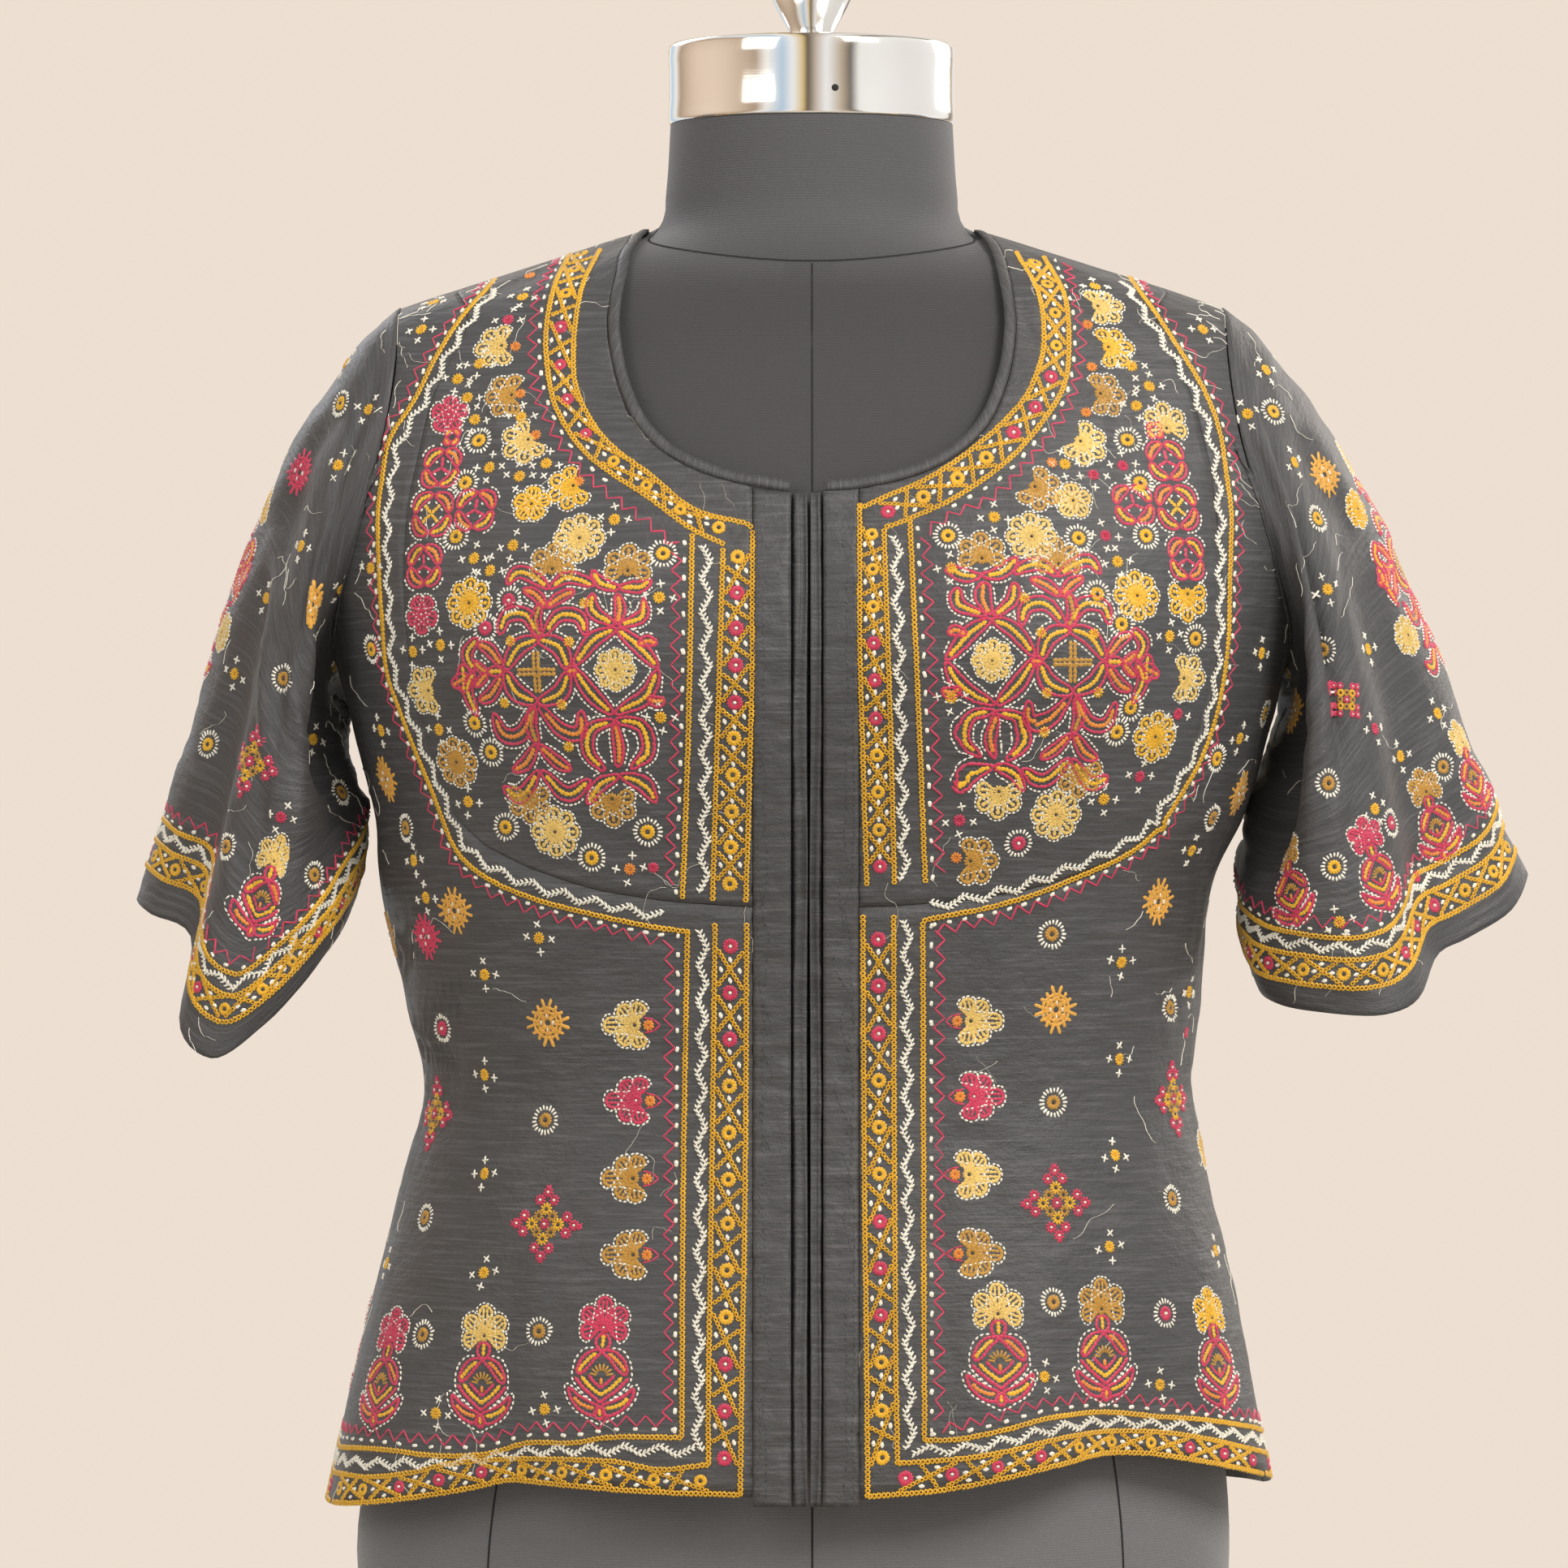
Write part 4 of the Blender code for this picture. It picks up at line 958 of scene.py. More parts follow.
def sleeve_points(side, around, along_steps):
    """The outer face of a sleeve: rings of points from the armhole to the cuff."""
    angles = np.linspace(0, 360, around + 1)
    out = np.array([side, 1, 1])
    ring = armhole(angles, side)
    seam = blouse_point(ring[:, 0], ring[:, 1])
    before = seam[np.arange(len(seam)) - 1]
    before[0] = seam[-2]
    ahead = seam[(np.arange(len(seam)) + 1) % len(seam)]
    ahead[-1] = seam[1]
    normal = blouse_normal(ring[:, 0], ring[:, 1])
    into_hole = unit(np.cross(normal, unit(ahead - before)))
    into_hole *= np.sign((into_hole * (side, 0, -0.2)).sum(axis=1, keepdims=True))
    start = seam + SLEEVE_SEAM_GAP * into_hole + SLEEVE_LAP * normal
    table = SLEEVE_START
    way = np.stack([smooth(table["angle"], table[k], angles) for k in ("out", "y", "up")], axis=1)
    way = unit(way) * smooth(table["angle"], table["reach"] * MM, angles)[:, None] * out
    cuff = CUFFS[side]
    end = np.stack(
        [smooth_ring(cuff["angle"], cuff[k] * MM, angles) for k in ("out", "y", "height")], axis=1
    )
    end = end * out
    arrive = unit(np.array(SLEEVE_END[side])) * SLEEVE_END_REACH * out
    t = np.linspace(0, 1, along_steps + 1)[:, None, None]
    points = (
        (1 + 2 * t) * (1 - t) ** 2 * start + t * (1 - t) ** 2 * way
        + t * t * (3 - 2 * t) * end - t * t * (1 - t) * arrive
    )
    round_sleeve = np.gradient(points, axis=1)
    round_sleeve[:, 0] = round_sleeve[:, -1] = points[:, 1] - points[:, -2]
    outward = unit(np.cross(round_sleeve, np.gradient(points, axis=0))) * side
    depth = np.zeros(points.shape[:2])
    for fold in SLEEVE_FOLDS[side]:
        beside = turn_between(angles, fold["angle"]) / fold["width"]
        beyond = (t[:, 0] - fold["along"]) / fold["length"]
        depth += fold["depth"] * MM * np.exp(-(beside**2) - beyond**2)
    u, v = np.broadcast_arrays(np.radians(angles) * SLEEVE_RADIUS, t[:, 0] * SLEEVE_LENGTH)
    ends = ramp(t[:, 0] / 0.06) * (0.4 + 0.6 * ramp((1 - t[:, 0]) / 0.15))
    x, y = (SLEEVE_RADIUS * turn(np.radians(angles)) for turn in (np.cos, np.sin))
    depth += ends * 0.8 * MM * (
        waves(x + v, y - 0.4 * v, 42 * MM, 50 + side)
        + 0.35 * waves(x - v, y + v, 17 * MM, 60 + side)
    )
    for row in SLEEVE_CREASES[side]:
        across = np.radians(turn_between(np.degrees(u / SLEEVE_RADIUS), row["angle"]))
        across = across * SLEEVE_RADIUS
        depth += ends * trough(across, -(v - row["height"] * MM), row)
    return points + outward * depth[..., None], np.stack([u, -v], axis=-1)


def make_sleeve(side, silk):
    points, cut = sleeve_points(side, 96, 76)
    SLEEVE_GRIDS[side] = points
    word = SIDE_WORD[side]
    obj = shell(f"silk_sleeve_{word}", points, cut, silk, f"sleeve_{word}", wrap=True)
    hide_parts(f"sleeve_{word}")


def turned_mesh(name, profile, around, material):
    """A turned solid through (radius, height) rows in millimetres, top to bottom."""
    theta = np.linspace(0, 2 * math.pi, around, endpoint=False)
    rows = np.array(profile) * MM
    points = np.stack([
        rows[:, :1] * np.cos(theta), rows[:, :1] * np.sin(theta),
        np.broadcast_to(rows[:, 1:], (len(rows), around)),
    ], axis=-1)
    faces = outward_faces(points.reshape(-1, 3), grid_faces(len(rows), around, True),
                          np.array([0, 0, rows[:, 1].mean()]))
    obj = mesh_object(name, points.reshape(-1, 3), faces, material)
    obj.data.set_sharp_from_angle(angle=math.radians(50))
    return obj


def form_surface(theta, z):
    return body_point(FORM, theta, z, 0.0, FORM_BUST_LIFT)


def make_form_cover(jersey):
    """The cover of the body and of the neck, closed at both ends."""
    theta = np.linspace(0, 2 * math.pi, COVER_COLUMNS, endpoint=False)
    seam = NECK_SEAM_HEIGHT - NECK_SEAM_TILT * np.cos(theta)
    parts = (
        ("jersey_body", "form_body", COVER_FOOT, seam, 64),
        ("jersey_neck", "form_neck", seam + 0.4 * MM, NECK_TOP + 0.4 * MM, 12),
    )
    for name, node, foot, top, rows in parts:
        rings = np.stack([
            form_surface(theta, foot + s * (top - foot)) for s in np.linspace(0, 1, rows)])
        flat = rings.reshape(-1, 3)
        faces = outward_faces(flat, grid_faces(rows, COVER_COLUMNS, True), np.array([0, 0, 0.35]))
        centres = [rings[0].mean(axis=0), rings[-1].mean(axis=0)]
        obj = mesh_object(name, np.concatenate([flat, centres]), faces, jersey)
        mesh = obj.data
        bm = bmesh.new()
        bm.from_mesh(mesh)
        bm.verts.ensure_lookup_table()
        last = (rows - 1) * COVER_COLUMNS
        for k in range(COVER_COLUMNS):
            n = (k + 1) % COVER_COLUMNS
            for lid in ((len(flat), n, k), (last + k, last + n, len(flat) + 1)):
                bm.faces.new([bm.verts[i] for i in lid])
        bmesh.ops.recalc_face_normals(bm, faces=bm.faces)
        bm.to_mesh(mesh)
        bm.free()
        mesh.shade_smooth()
        mesh.set_sharp_from_angle(angle=math.radians(50))
        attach(obj, "root")
        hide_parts(node)


def make_form_seams(shadow):
    """Seams of the cover: round the neck, down the middle and down each side."""
    theta = np.linspace(0, 2 * math.pi, COVER_COLUMNS, endpoint=False)
    neck = np.stack([theta, NECK_SEAM_HEIGHT - NECK_SEAM_TILT * np.cos(theta) + 0.2 * MM], axis=1)
    heights = np.linspace(11 * MM, 631 * MM, 160)
    seams = [np.concatenate([neck, neck[:1] + (2 * math.pi, 0)])]
    seams += [np.stack([np.full_like(heights, turn), heights], 1) for turn in (-0.001, math.pi)]
    for turn in (-1, 1):
        for angle in (0.92, 2.25):
            sweep = angle + 0.12 * np.cos(heights / 0.2)
            seams.append(np.stack([turn * sweep, heights * 0.93], axis=1))
    tubes = bpy.data.curves.new("jersey_seams", "CURVE")
    tubes.dimensions = "3D"
    tubes.bevel_depth = 0.45 * MM
    tubes.bevel_resolution = 0
    for seam in seams:
        line = form_surface(seam[:, 0], seam[:, 1])
        spline = tubes.splines.new("POLY")
        spline.points.add(len(line) - 1)
        spline.points.foreach_set("co", np.c_[line, np.ones(len(line))].ravel())
    seams = bpy.data.objects.new("jersey_seams", tubes)
    bpy.context.scene.collection.objects.link(seams)
    tubes.materials.append(shadow)
    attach(seams, "root")


def make_neck_cap(chrome, shadow):
    """The turned cap on the neck, its knob and the small hole in its rim."""
    cap = turned_mesh("chrome_neck_cap", [
        (0, 729.8), (56.0, 729.8), (59.8, 729.4), (61.0, 728.6), (61.6, 727.2), (61.6, 722),
        (61.3, 718), (61.3, 705), (61.6, 701), (61.6, 697.0), (61.2, 695.4), (60.0, 694.8),
        (0, 694.8),
    ], 128, chrome)
    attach(cap, "root")
    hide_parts("neck_cap")
    knob = turned_mesh("chrome_knob", FINE_KNOB, 72, chrome)
    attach(knob, "root")
    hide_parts("cap_knob")
    rivet = turned_mesh("cap_hole", [(0, 0.3), (1.2, 0.3), (1.5, 0.0), (1.5, -0.4), (0, -0.4)],
                        20, shadow)
    rivet.data.transform(
        Vector((0, 0, 1)).rotation_difference(Vector((0.16, -0.987, 0))).to_matrix().to_4x4()
    )
    rivet.data.transform(Matrix.Translation((9.8 * MM, -60.7 * MM, 0.7060)))
    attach(rivet, "root")


class Ground:
    """The outer face of one cloth, where stitches are set."""

    def __init__(self, region):
        self.region = region
        points, faces, first = [], [], 0
        for flat, quads in CLOTHS[region]:
            points.append(flat)
            faces.append(quads + first)
            first += len(flat)
        self.points, self.faces = np.concatenate(points), np.concatenate(faces)
        corner = self.points[self.faces]
        flat_normal = unit(np.cross(corner[:, 2] - corner[:, 0], corner[:, 3] - corner[:, 1]))
        self.normals = np.zeros_like(self.points)
        np.add.at(self.normals, self.faces.ravel(), np.repeat(flat_normal, 4, axis=0))
        self.tree = BVHTree.FromPolygons(self.points.tolist(), self.faces.tolist())

    def settle(self, points):
        """The cloth's nearest places to some points, and its normals there."""
        found = [self.tree.find_nearest(Vector(p)) for p in points]
        places = np.array([hit[0] for hit in found])
        near = self.faces[[hit[2] for hit in found]]
        weight = 1 / (np.linalg.norm(self.points[near] - places[:, None], axis=2) + 0.2 * MM)
        return places, unit((weight[..., None] * self.normals[near]).sum(axis=1))

    def seen(self, px, py):
        """The place of the cloth that lies behind a pixel of the photograph."""
        aim = np.array([(px - MIDDLE_PX) * PIXEL, 0, (FLOOR_PY - py) * PIXEL])
        way = unit(aim - CAMERA)
        hit = self.tree.ray_cast(Vector(CAMERA), Vector(way))
        if hit[0] is None or hit[1].dot(Vector(way)) > 0:
            reach = np.linspace(3.36, 3.60, 16)
            tries = [self.tree.find_nearest(Vector(CAMERA + way * r)) for r in reach]
            facing = [found for found in tries if found[1].dot(Vector(way)) < 0.3] or tries
            hit = min(facing, key=lambda found: found[3])
        return np.array(hit[0])

    def seen_line(self, pixels):
        return np.array([self.seen(px, py) for px, py in pixels])


class Motif:
    """A place on a cloth, with the motif's own across and up directions in millimetres."""

    def __init__(self, ground, place, up=(0, 0, 1), turn=0.0, size=1.0, flip=1):
        self.ground = ground
        self.place, normal = (found[0] for found in ground.settle(np.array([place])))
        v = np.array(up) - np.dot(up, normal) * normal
        v = v / np.linalg.norm(v)
        u = np.cross(v, normal)
        c, s = math.cos(math.radians(turn)), math.sin(math.radians(turn))
        self.across = (c * u + s * v) * size * flip * MM
        self.up = (c * v - s * u) * size * MM

    def at(self, points):
        points = np.asarray(points, float)
        return self.place + points[:, :1] * self.across + points[:, 1:] * self.up

    def beside(self, x, y, size=1.0):
        """The same motif at another of its places, and in another size."""
        other = copy.copy(self)
        other.place = self.at([(x, y)])[0]
        other.across, other.up = self.across * size, self.up * size
        return other


def sew(ground, colour, kind, starts, ends, width, height):
    """Notes stitches from starts to ends; their places are settled on the cloth."""
    a, over_a = ground.settle(starts)
    b, over_b = ground.settle(ends)
    wide = np.broadcast_to(np.asarray(width, float) * MM, (len(a),))
    high = np.broadcast_to(np.asarray(height, float) * MM, (len(a),))
    place = ground.region
    if place == "body":
        x, y, _ = a.mean(axis=0)
        place = "back" if y > 0 else "front_left" if x > 0 else "front_right"
    STITCHES.setdefault((place, colour), []).append(
        (kind, a, b, unit(over_a + over_b), wide, high)
    )


def rounded(points, closed=False, n=12):
    """A smooth curve through a few places, in any number of dimensions."""
    points = np.asarray(points, float)
    if closed:
        before, after = points[-1:], points[:2]
    else:
        before, after = 2 * points[:1] - points[1:2], 2 * points[-1:] - points[-2:-1]
    p = np.concatenate([before, points, after])
    t = np.linspace(0, 1, n, endpoint=False)[:, None]
    parts = []
    for a, b, c, d in zip(p[:-3], p[1:-2], p[2:-1], p[3:]):
        parts.append(
            0.5 * (2 * b + (c - a) * t + (2 * a - 5 * b + 4 * c - d) * t**2
                   + (3 * b - a - 3 * c + d) * t**3)
        )
    return np.concatenate(parts + [points[:1] if closed else points[-1:]])


def spaced(line, pitch, least=1):
    """A line cut into equal steps of about a pitch, in millimetres."""
    lengths = np.linalg.norm(np.diff(line, axis=0), axis=1)
    along = np.concatenate([[0], np.cumsum(lengths)])
    steps = max(least, int(round(along[-1] / (pitch * MM))))
    at = np.linspace(0, along[-1], steps + 1)
    return np.stack([np.interp(at, along, line[:, k]) for k in range(line.shape[1])], axis=1)


def beside(ground, line, distance):
    """A line on the cloth moved to the right of its own direction, in millimetres."""
    places, over = ground.settle(line)
    run = np.gradient(places, axis=0)
    side = unit(np.cross(run, over))
    return ground.settle(places + distance * MM * side)[0]


def jitter(count, reach):
    return RNG.uniform(-reach, reach, (count, 3)) * MM


def chain(ground, line, colour, width=3.2, pitch=1.95, height=0.85):
    """Chain stitch: links that each start inside the one before, drawn tight where it is narrow."""
    points = spaced(line, pitch)
    step = np.diff(points, axis=0)
    shift = jitter(len(step), 0.12)
    sew(ground, colour, "link" if width > 2.5 else "loop", points[:-1] - 0.28 * step + shift,
        points[1:] + 0.12 * step + shift, width * RNG.uniform(0.92, 1.06, len(step)), height)


def running(ground, line, colour="cream", pitch=2.5, share=0.66, width=1.15, height=0.7):
    points = spaced(line, pitch)
    step = np.diff(points, axis=0) * share / 2
    middle = (points[1:] + points[:-1]) / 2 + jitter(len(step), 0.15)
    sew(ground, colour, "dash", middle - step, middle + step, width, height)


def seeds(ground, line, pitch=8.0, colour="cream"):
    points = spaced(line, pitch)
    turn = RNG.uniform(-0.35, 0.35, (len(points), 1))
    run = unit(np.gradient(points, axis=0))
    _, over = ground.settle(points)
    run = unit(run + turn * np.cross(run, over))
    reach = run * RNG.uniform(1.1, 1.5, (len(points), 1)) * MM
    sew(ground, colour, "bar", points - reach, points + reach, RNG.uniform(1.7, 2.2, len(points)),
        1.0)


def zigzag(ground, line, colour="crimson", half=4.1, reach=2.2, width=0.95):
    points = spaced(line, half, 2)
    _, over = ground.settle(points)
    side = unit(np.cross(unit(np.gradient(points, axis=0)), over))
    swing = reach * MM * (-1.0) ** np.arange(len(points)) * RNG.uniform(0.8, 1.15, len(points))
    points = points + side * swing[:, None] + jitter(len(points), 0.25)
    step = unit(np.diff(points, axis=0)) * 0.35 * MM
    sew(ground, colour, "bar", points[:-1] - step, points[1:] + step, width, 0.6)


def braid(ground, line, colour="cream", half=7.4, reach=1.9, barbs=4):
    """The white feather stitch: short slanted barbs along a thread that swings to each side."""
    points = spaced(line, half, 2)
    _, over = ground.settle(points)
    side = unit(np.cross(unit(np.gradient(points, axis=0)), over))
    swing = (-1.0) ** np.arange(len(points))
    corners = points + side * (reach * MM * swing)[:, None]
    starts, ends = [], []
    for k in range(len(corners) - 1):
        way = corners[k + 1] - corners[k]
        out = side[k] * swing[k + 1]
        for barb in range(barbs):
            at = corners[k] + way * (barb + 0.5) / barbs
            starts += [at - 0.5 * way / barbs, at + out * 2.0 * MM - 0.16 * way,
                       at - out * 1.2 * MM - 0.13 * way]
            ends += [at + 0.6 * way / barbs, at + out * 0.1 * MM + 0.08 * way,
                     at - out * 0.1 * MM + 0.06 * way]
    starts = np.array(starts) + jitter(len(starts), 0.25)
    sew(ground, colour, "dash", starts, np.array(ends), 1.15, 0.95)


def wheel(motif, x, y, colour, outer=3.2, inner=1.2, spokes=13, width=1.25, mirror=None):
    """A round of close stitches from a small middle, pale in crimson rounds and dark in others."""
    mirror = mirror or ("cream" if colour == "crimson" else "charcoal")
    turn = np.linspace(0, 2 * math.pi, spokes, endpoint=False) + RNG.uniform(0, 1)
    out = np.stack([np.cos(turn), np.sin(turn)], axis=1)
    far = outer * RNG.uniform(0.94, 1.05, (spokes, 1))
    sew(motif.ground, colour, "bar", motif.at(out * inner * 0.8 + (x, y)),
        motif.at(out * far + (x, y)), width, 0.85)
    middle = np.array([[x - 0.8 * inner, y], [x + 0.8 * inner, y]])
    sew(motif.ground, mirror, "dot", motif.at(middle[:1]), motif.at(middle[1:]), 1.6 * inner, 0.8)


def cross(motif, x, y, colour="cream", size=2.0, turn=None):
    turn = RNG.uniform(0, 90) if turn is None else turn
    a = np.radians(turn + np.array([0, 90]))
    out = np.stack([np.cos(a), np.sin(a)], axis=1) * size
    sew(motif.ground, colour, "bar", motif.at(out + (x, y)), motif.at((x, y) - out), 1.0, 0.75)


def eyelet(motif, colour="yellow"):
    wheel(motif, 0, 0, colour, 3.2, 1.1, 13, 1.6)
    turn = np.linspace(0, 2 * math.pi, 21, endpoint=False)
    out = np.stack([np.cos(turn), np.sin(turn)], axis=1)
    near = 4.2 * RNG.uniform(0.94, 1.05, (21, 1))
    far = 6.3 * RNG.uniform(0.92, 1.08, (21, 1))
    sew(motif.ground, "cream", "bar", motif.at(out * near), motif.at(out * far), 1.15, 0.65)


def dot_and_crosses(motif, colour="yellow"):
    wheel(motif, 0, 0, colour, 2.7, 0.7, 11, 1.2, colour)
    for turn in (0, 90, 180, 270):
        away = np.radians(turn + RNG.uniform(-12, 12))
        cross(motif, 5.9 * math.cos(away), 5.9 * math.sin(away))


def dot(motif, colour="yellow"):
    wheel(motif, 0, 0, colour, 2.5, 0.6, 10, 1.2, colour)


def spiky(motif, colour="amber"):
    """A star of close stitches with forked points and four seeds."""
    for turn in range(0, 360, 45):
        straight = turn % 90 == 0
        for lean in (-13, 13):
            a = math.radians(turn + lean)
            tip = (10.6 if straight else 8.8) * np.array([math.cos(a), math.sin(a)])
            b = math.radians(turn + lean * 0.5)
            base = 1.2 * np.array([math.cos(b), math.sin(b)])
            middle = 6.0 * np.array([math.cos(b), math.sin(b)])
            for start, end in ((base, middle * 0.62), (middle * 0.5, middle), (middle * 0.9, tip)):
                sew(motif.ground, colour, "bar", motif.at([start]), motif.at([end]), 1.9, 0.75)
    round_line = np.array([
        (math.cos(a), math.sin(a)) for a in np.linspace(0, 2 * math.pi, 33)
    ])
    for r in (4.6, 6.4):
        chain(motif.ground, motif.at(round_line * r), colour, 2.0, 1.8)
    for x, y in ((0, 2.9), (2.9, 0), (0, -2.9), (-2.9, 0)):
        sew(motif.ground, "cream", "bar", motif.at([(x, y - 1)]), motif.at([(x, y + 1)]), 1.7, 1.25)


def rosette(motif):
    """A diamond of small blocks, crimson at the rim and gold inside, with cream seeds."""
    for i in range(-2, 3):
        for j in range(-2, 3):
            x, y = 3.55 * (i - j), 3.55 * (i + j)
            ring = max(abs(i), abs(j))
            if ring == 2 and (i * j == 0):
                continue
            colour = "crimson" if ring == 2 else "gold"
            if ring == 0:
                wheel(motif, 0, 0, "crimson", 2.6, 0.9, 10, 1.1)
            elif ring == 1 and i * j != 0:
                wheel(motif, x * 0.9, y * 0.9, "yellow", 3.0, 0.9, 10, 1.2)
            else:
                wheel(motif, x * 0.96, y * 0.96, colour, 2.6, 0.85, 9, 1.25)
    for x, y in ((0, 15.6), (15.6, 0), (0, -15.6), (-15.6, 0)):
        cross(motif, x, y, "crimson", 1.6, 45)


def petal(motif, turn, reach, width, colour, x=0.0, y=0.0, inner=2.2):
    """A petal outlined in chain with chains inside, and the cream line beyond its end."""
    a = math.radians(turn)
    c, s = math.cos(a), math.sin(a)
    half = width / 2
    shape = np.array([
        (inner, 0.3), (inner + 0.35 * (reach - inner), half * 0.66), (0.70 * reach, half),
        (0.88 * reach, half * 0.86), (0.98 * reach, half * 0.42), (reach, 0),
    ])
    shape = np.concatenate([shape, shape[-2::-1] * (1, -1)])

    def placed(points):
        points = np.asarray(points)
        return np.stack([c * points[:, 0] - s * points[:, 1] + x,
                         s * points[:, 0] + c * points[:, 1] + y], axis=1)

    chain(motif.ground, motif.at(rounded(placed(shape), n=6)), colour, 1.95, 1.9, 0.85)
    if width > 5.6:
        for lean in (-0.16, 0.16):
            inside = [(inner + 0.6, lean * 1.5), (0.5 * reach, lean * width),
                      (0.90 * reach, lean * 0.9 * width)]
            chain(motif.ground, motif.at(rounded(placed(inside))), colour, 1.6, 1.9, 0.75)
    else:
        inside = [(inner + 0.6, 0), (0.86 * reach, 0)]
        chain(motif.ground, motif.at(rounded(placed(inside))), colour, 2.2, 1.8, 0.75)
    rim = np.array([
        (0.70 * reach + 0.4, half * 1.22), (0.88 * reach + 0.7, half * 1.34),
        (0.98 * reach + 1.0, half * 0.74), (reach + 1.25, 0),
    ])
    return placed(np.concatenate([rim, rim[-2::-1] * (1, -1)]))


def flower(motif, colour, petals=8, reach=10.2, heart=None, spread=360, first=90, outline=True):
    """Petals round a small wheel; the cream outline runs round their ends."""
    turns = first + np.arange(petals) * spread / (petals if spread == 360 else petals - 1)
    lean = 0.0 if spread == 360 else 0.2
    gap = spread / (petals if spread == 360 else petals - 1)
    width = min(6.2, 2 * 0.74 * reach * math.tan(math.radians(gap / 2)) * 0.86)
    rims = [petal(motif, turn, reach * (1 + lean * math.sin(math.radians(turn))), width, colour)
            for turn in turns]
    wheel(motif, 0, 0, heart or colour, 2.8, 0.7, 11, 1.3)
    if outline:
        rim = np.concatenate(rims)
        if spread == 360:
            rim = np.concatenate([rim, rim[:1]])
        running(motif.ground, motif.at(rounded(rim, n=4)), pitch=1.9, share=0.74, width=1.0)


def side_flower(motif, colour):
    """Five petals that point away from an orange bud; up is away from the bud."""
    rims = []
    for turn, reach in ((-14, 9.4), (38, 9.8), (90, 13.2), (142, 9.8), (194, 9.4)):
        rims.append(petal(motif, turn, reach, 6.2, colour))
    running(motif.ground, motif.at(rounded(np.concatenate(rims), n=3)), pitch=2.2, share=0.72)
    wheel(motif, 0, 0, colour, 2.8, 0.8, 12, 1.4)
    wheel(motif, 0, -6.0, "orange", 2.5, 0.3, 9, 1.5, "orange")
    for x in (-1, 1):
        sew(motif.ground, "crimson", "bar", motif.at([(x * 3.2, -4.0)]),
            motif.at([(x * 2.4, -8.2)]), 0.95, 0.6)
        sew(motif.ground, "crimson", "bar", motif.at([(x * 2.4, -8.2)]), motif.at([(0, -11.0)]),
            0.95, 0.6)


def leaf(motif, points, filling="yellow", outline="crimson"):
    """A closed shape of crimson chain with one line inside, from base to tip."""
    points = np.asarray(points, float)
    chain(motif.ground, motif.at(rounded(points, True)), outline, 1.95, 1.85, 0.9)
    half = len(points) // 2
    middle = [(points[k] + points[-k]) / 2 for k in range(1, half + 1)]
    middle = np.array([points[0] * 0.3 + middle[0] * 0.7] + middle[:-1]
                      + [middle[-1] * 0.6 + middle[-2] * 0.4])
    chain(motif.ground, motif.at(rounded(middle)), filling, 2.3, 1.8, 0.85)


def plant(motif, colour):
    """A fan-shaped flower over a pot with two leaves."""
    fan = Motif.__new__(Motif)
    fan.ground, fan.across, fan.up = motif.ground, motif.across, motif.up
    fan.place = motif.at([(0, 19.5)])[0]
    flower(fan, colour, 5, 10.4, None, 208, -14)
    leaf(motif, [(0, 9.6), (3.0, 12.2), (2.5, 15.6), (0, 16.8), (-2.5, 15.6), (-3.0, 12.2)])
    for x in (-1, 1):
        leaf(motif, [(0, 9.6), (x * 5.0, 9.6), (x * 9.6, 5.8), (x * 11.2, 0.2), (x * 8.0, 1.0),
                     (x * 3.6, 6.0)], "orange" if x > 0 else "yellow")
        leaf(motif, [(x * 0.6, -13.4), (x * 5.2, -11.4), (x * 10.6, -8.6), (x * 14.4, -5.4),
                     (x * 13.0, -11.0), (x * 7.6, -16.0), (x * 2.4, -17.0)],
             "orange" if x < 0 else "yellow")
        chain(motif.ground, motif.at(rounded([(x * 11.6, -1.6), (x * 8.0, -5.6), (0, -11.8)])),
              "crimson", 2.1)
        chain(motif.ground, motif.at(rounded([(x * 8.6, -1.4), (x * 5.2, -5.0), (0, -8.6)])),
              "yellow", 2.3)
        chain(motif.ground, motif.at(rounded([(x * 5.6, -0.6), (x * 3.0, -3.4), (0, -5.6)])),
              "crimson", 1.9)
    for turn in np.radians(np.linspace(12, 168, 8)):
        way = np.array([math.cos(turn), math.sin(turn)])
        sew(motif.ground, "gold", "bar", motif.at([way * 2.0 + (0, -0.8)]),
            motif.at([way * 5.4 + (0, -0.8)]), 1.2, 0.75)
    sew(motif.ground, "orange", "bar", motif.at([(0, -4.4)]), motif.at([(0, -1.4)]), 1.8, 0.8)
    leaf(motif, [(0, -19.0), (2.4, -16.4), (0, -13.2), (-2.4, -16.4)])
    rim = np.array([
        (3.6, 11.0), (8.0, 10.6), (12.2, 6.0), (13.2, -0.8), (13.2, -2.4), (9.4, -6.8),
        (3.6, -11.6), (9.4, -7.8), (15.6, -3.6), (16.2, -8.0), (12.0, -14.6), (5.6, -18.4),
        (0, -21.2),
    ])
    for x in (-1, 1):
        running(motif.ground, motif.at(rounded(rim * (x, 1), n=5)))


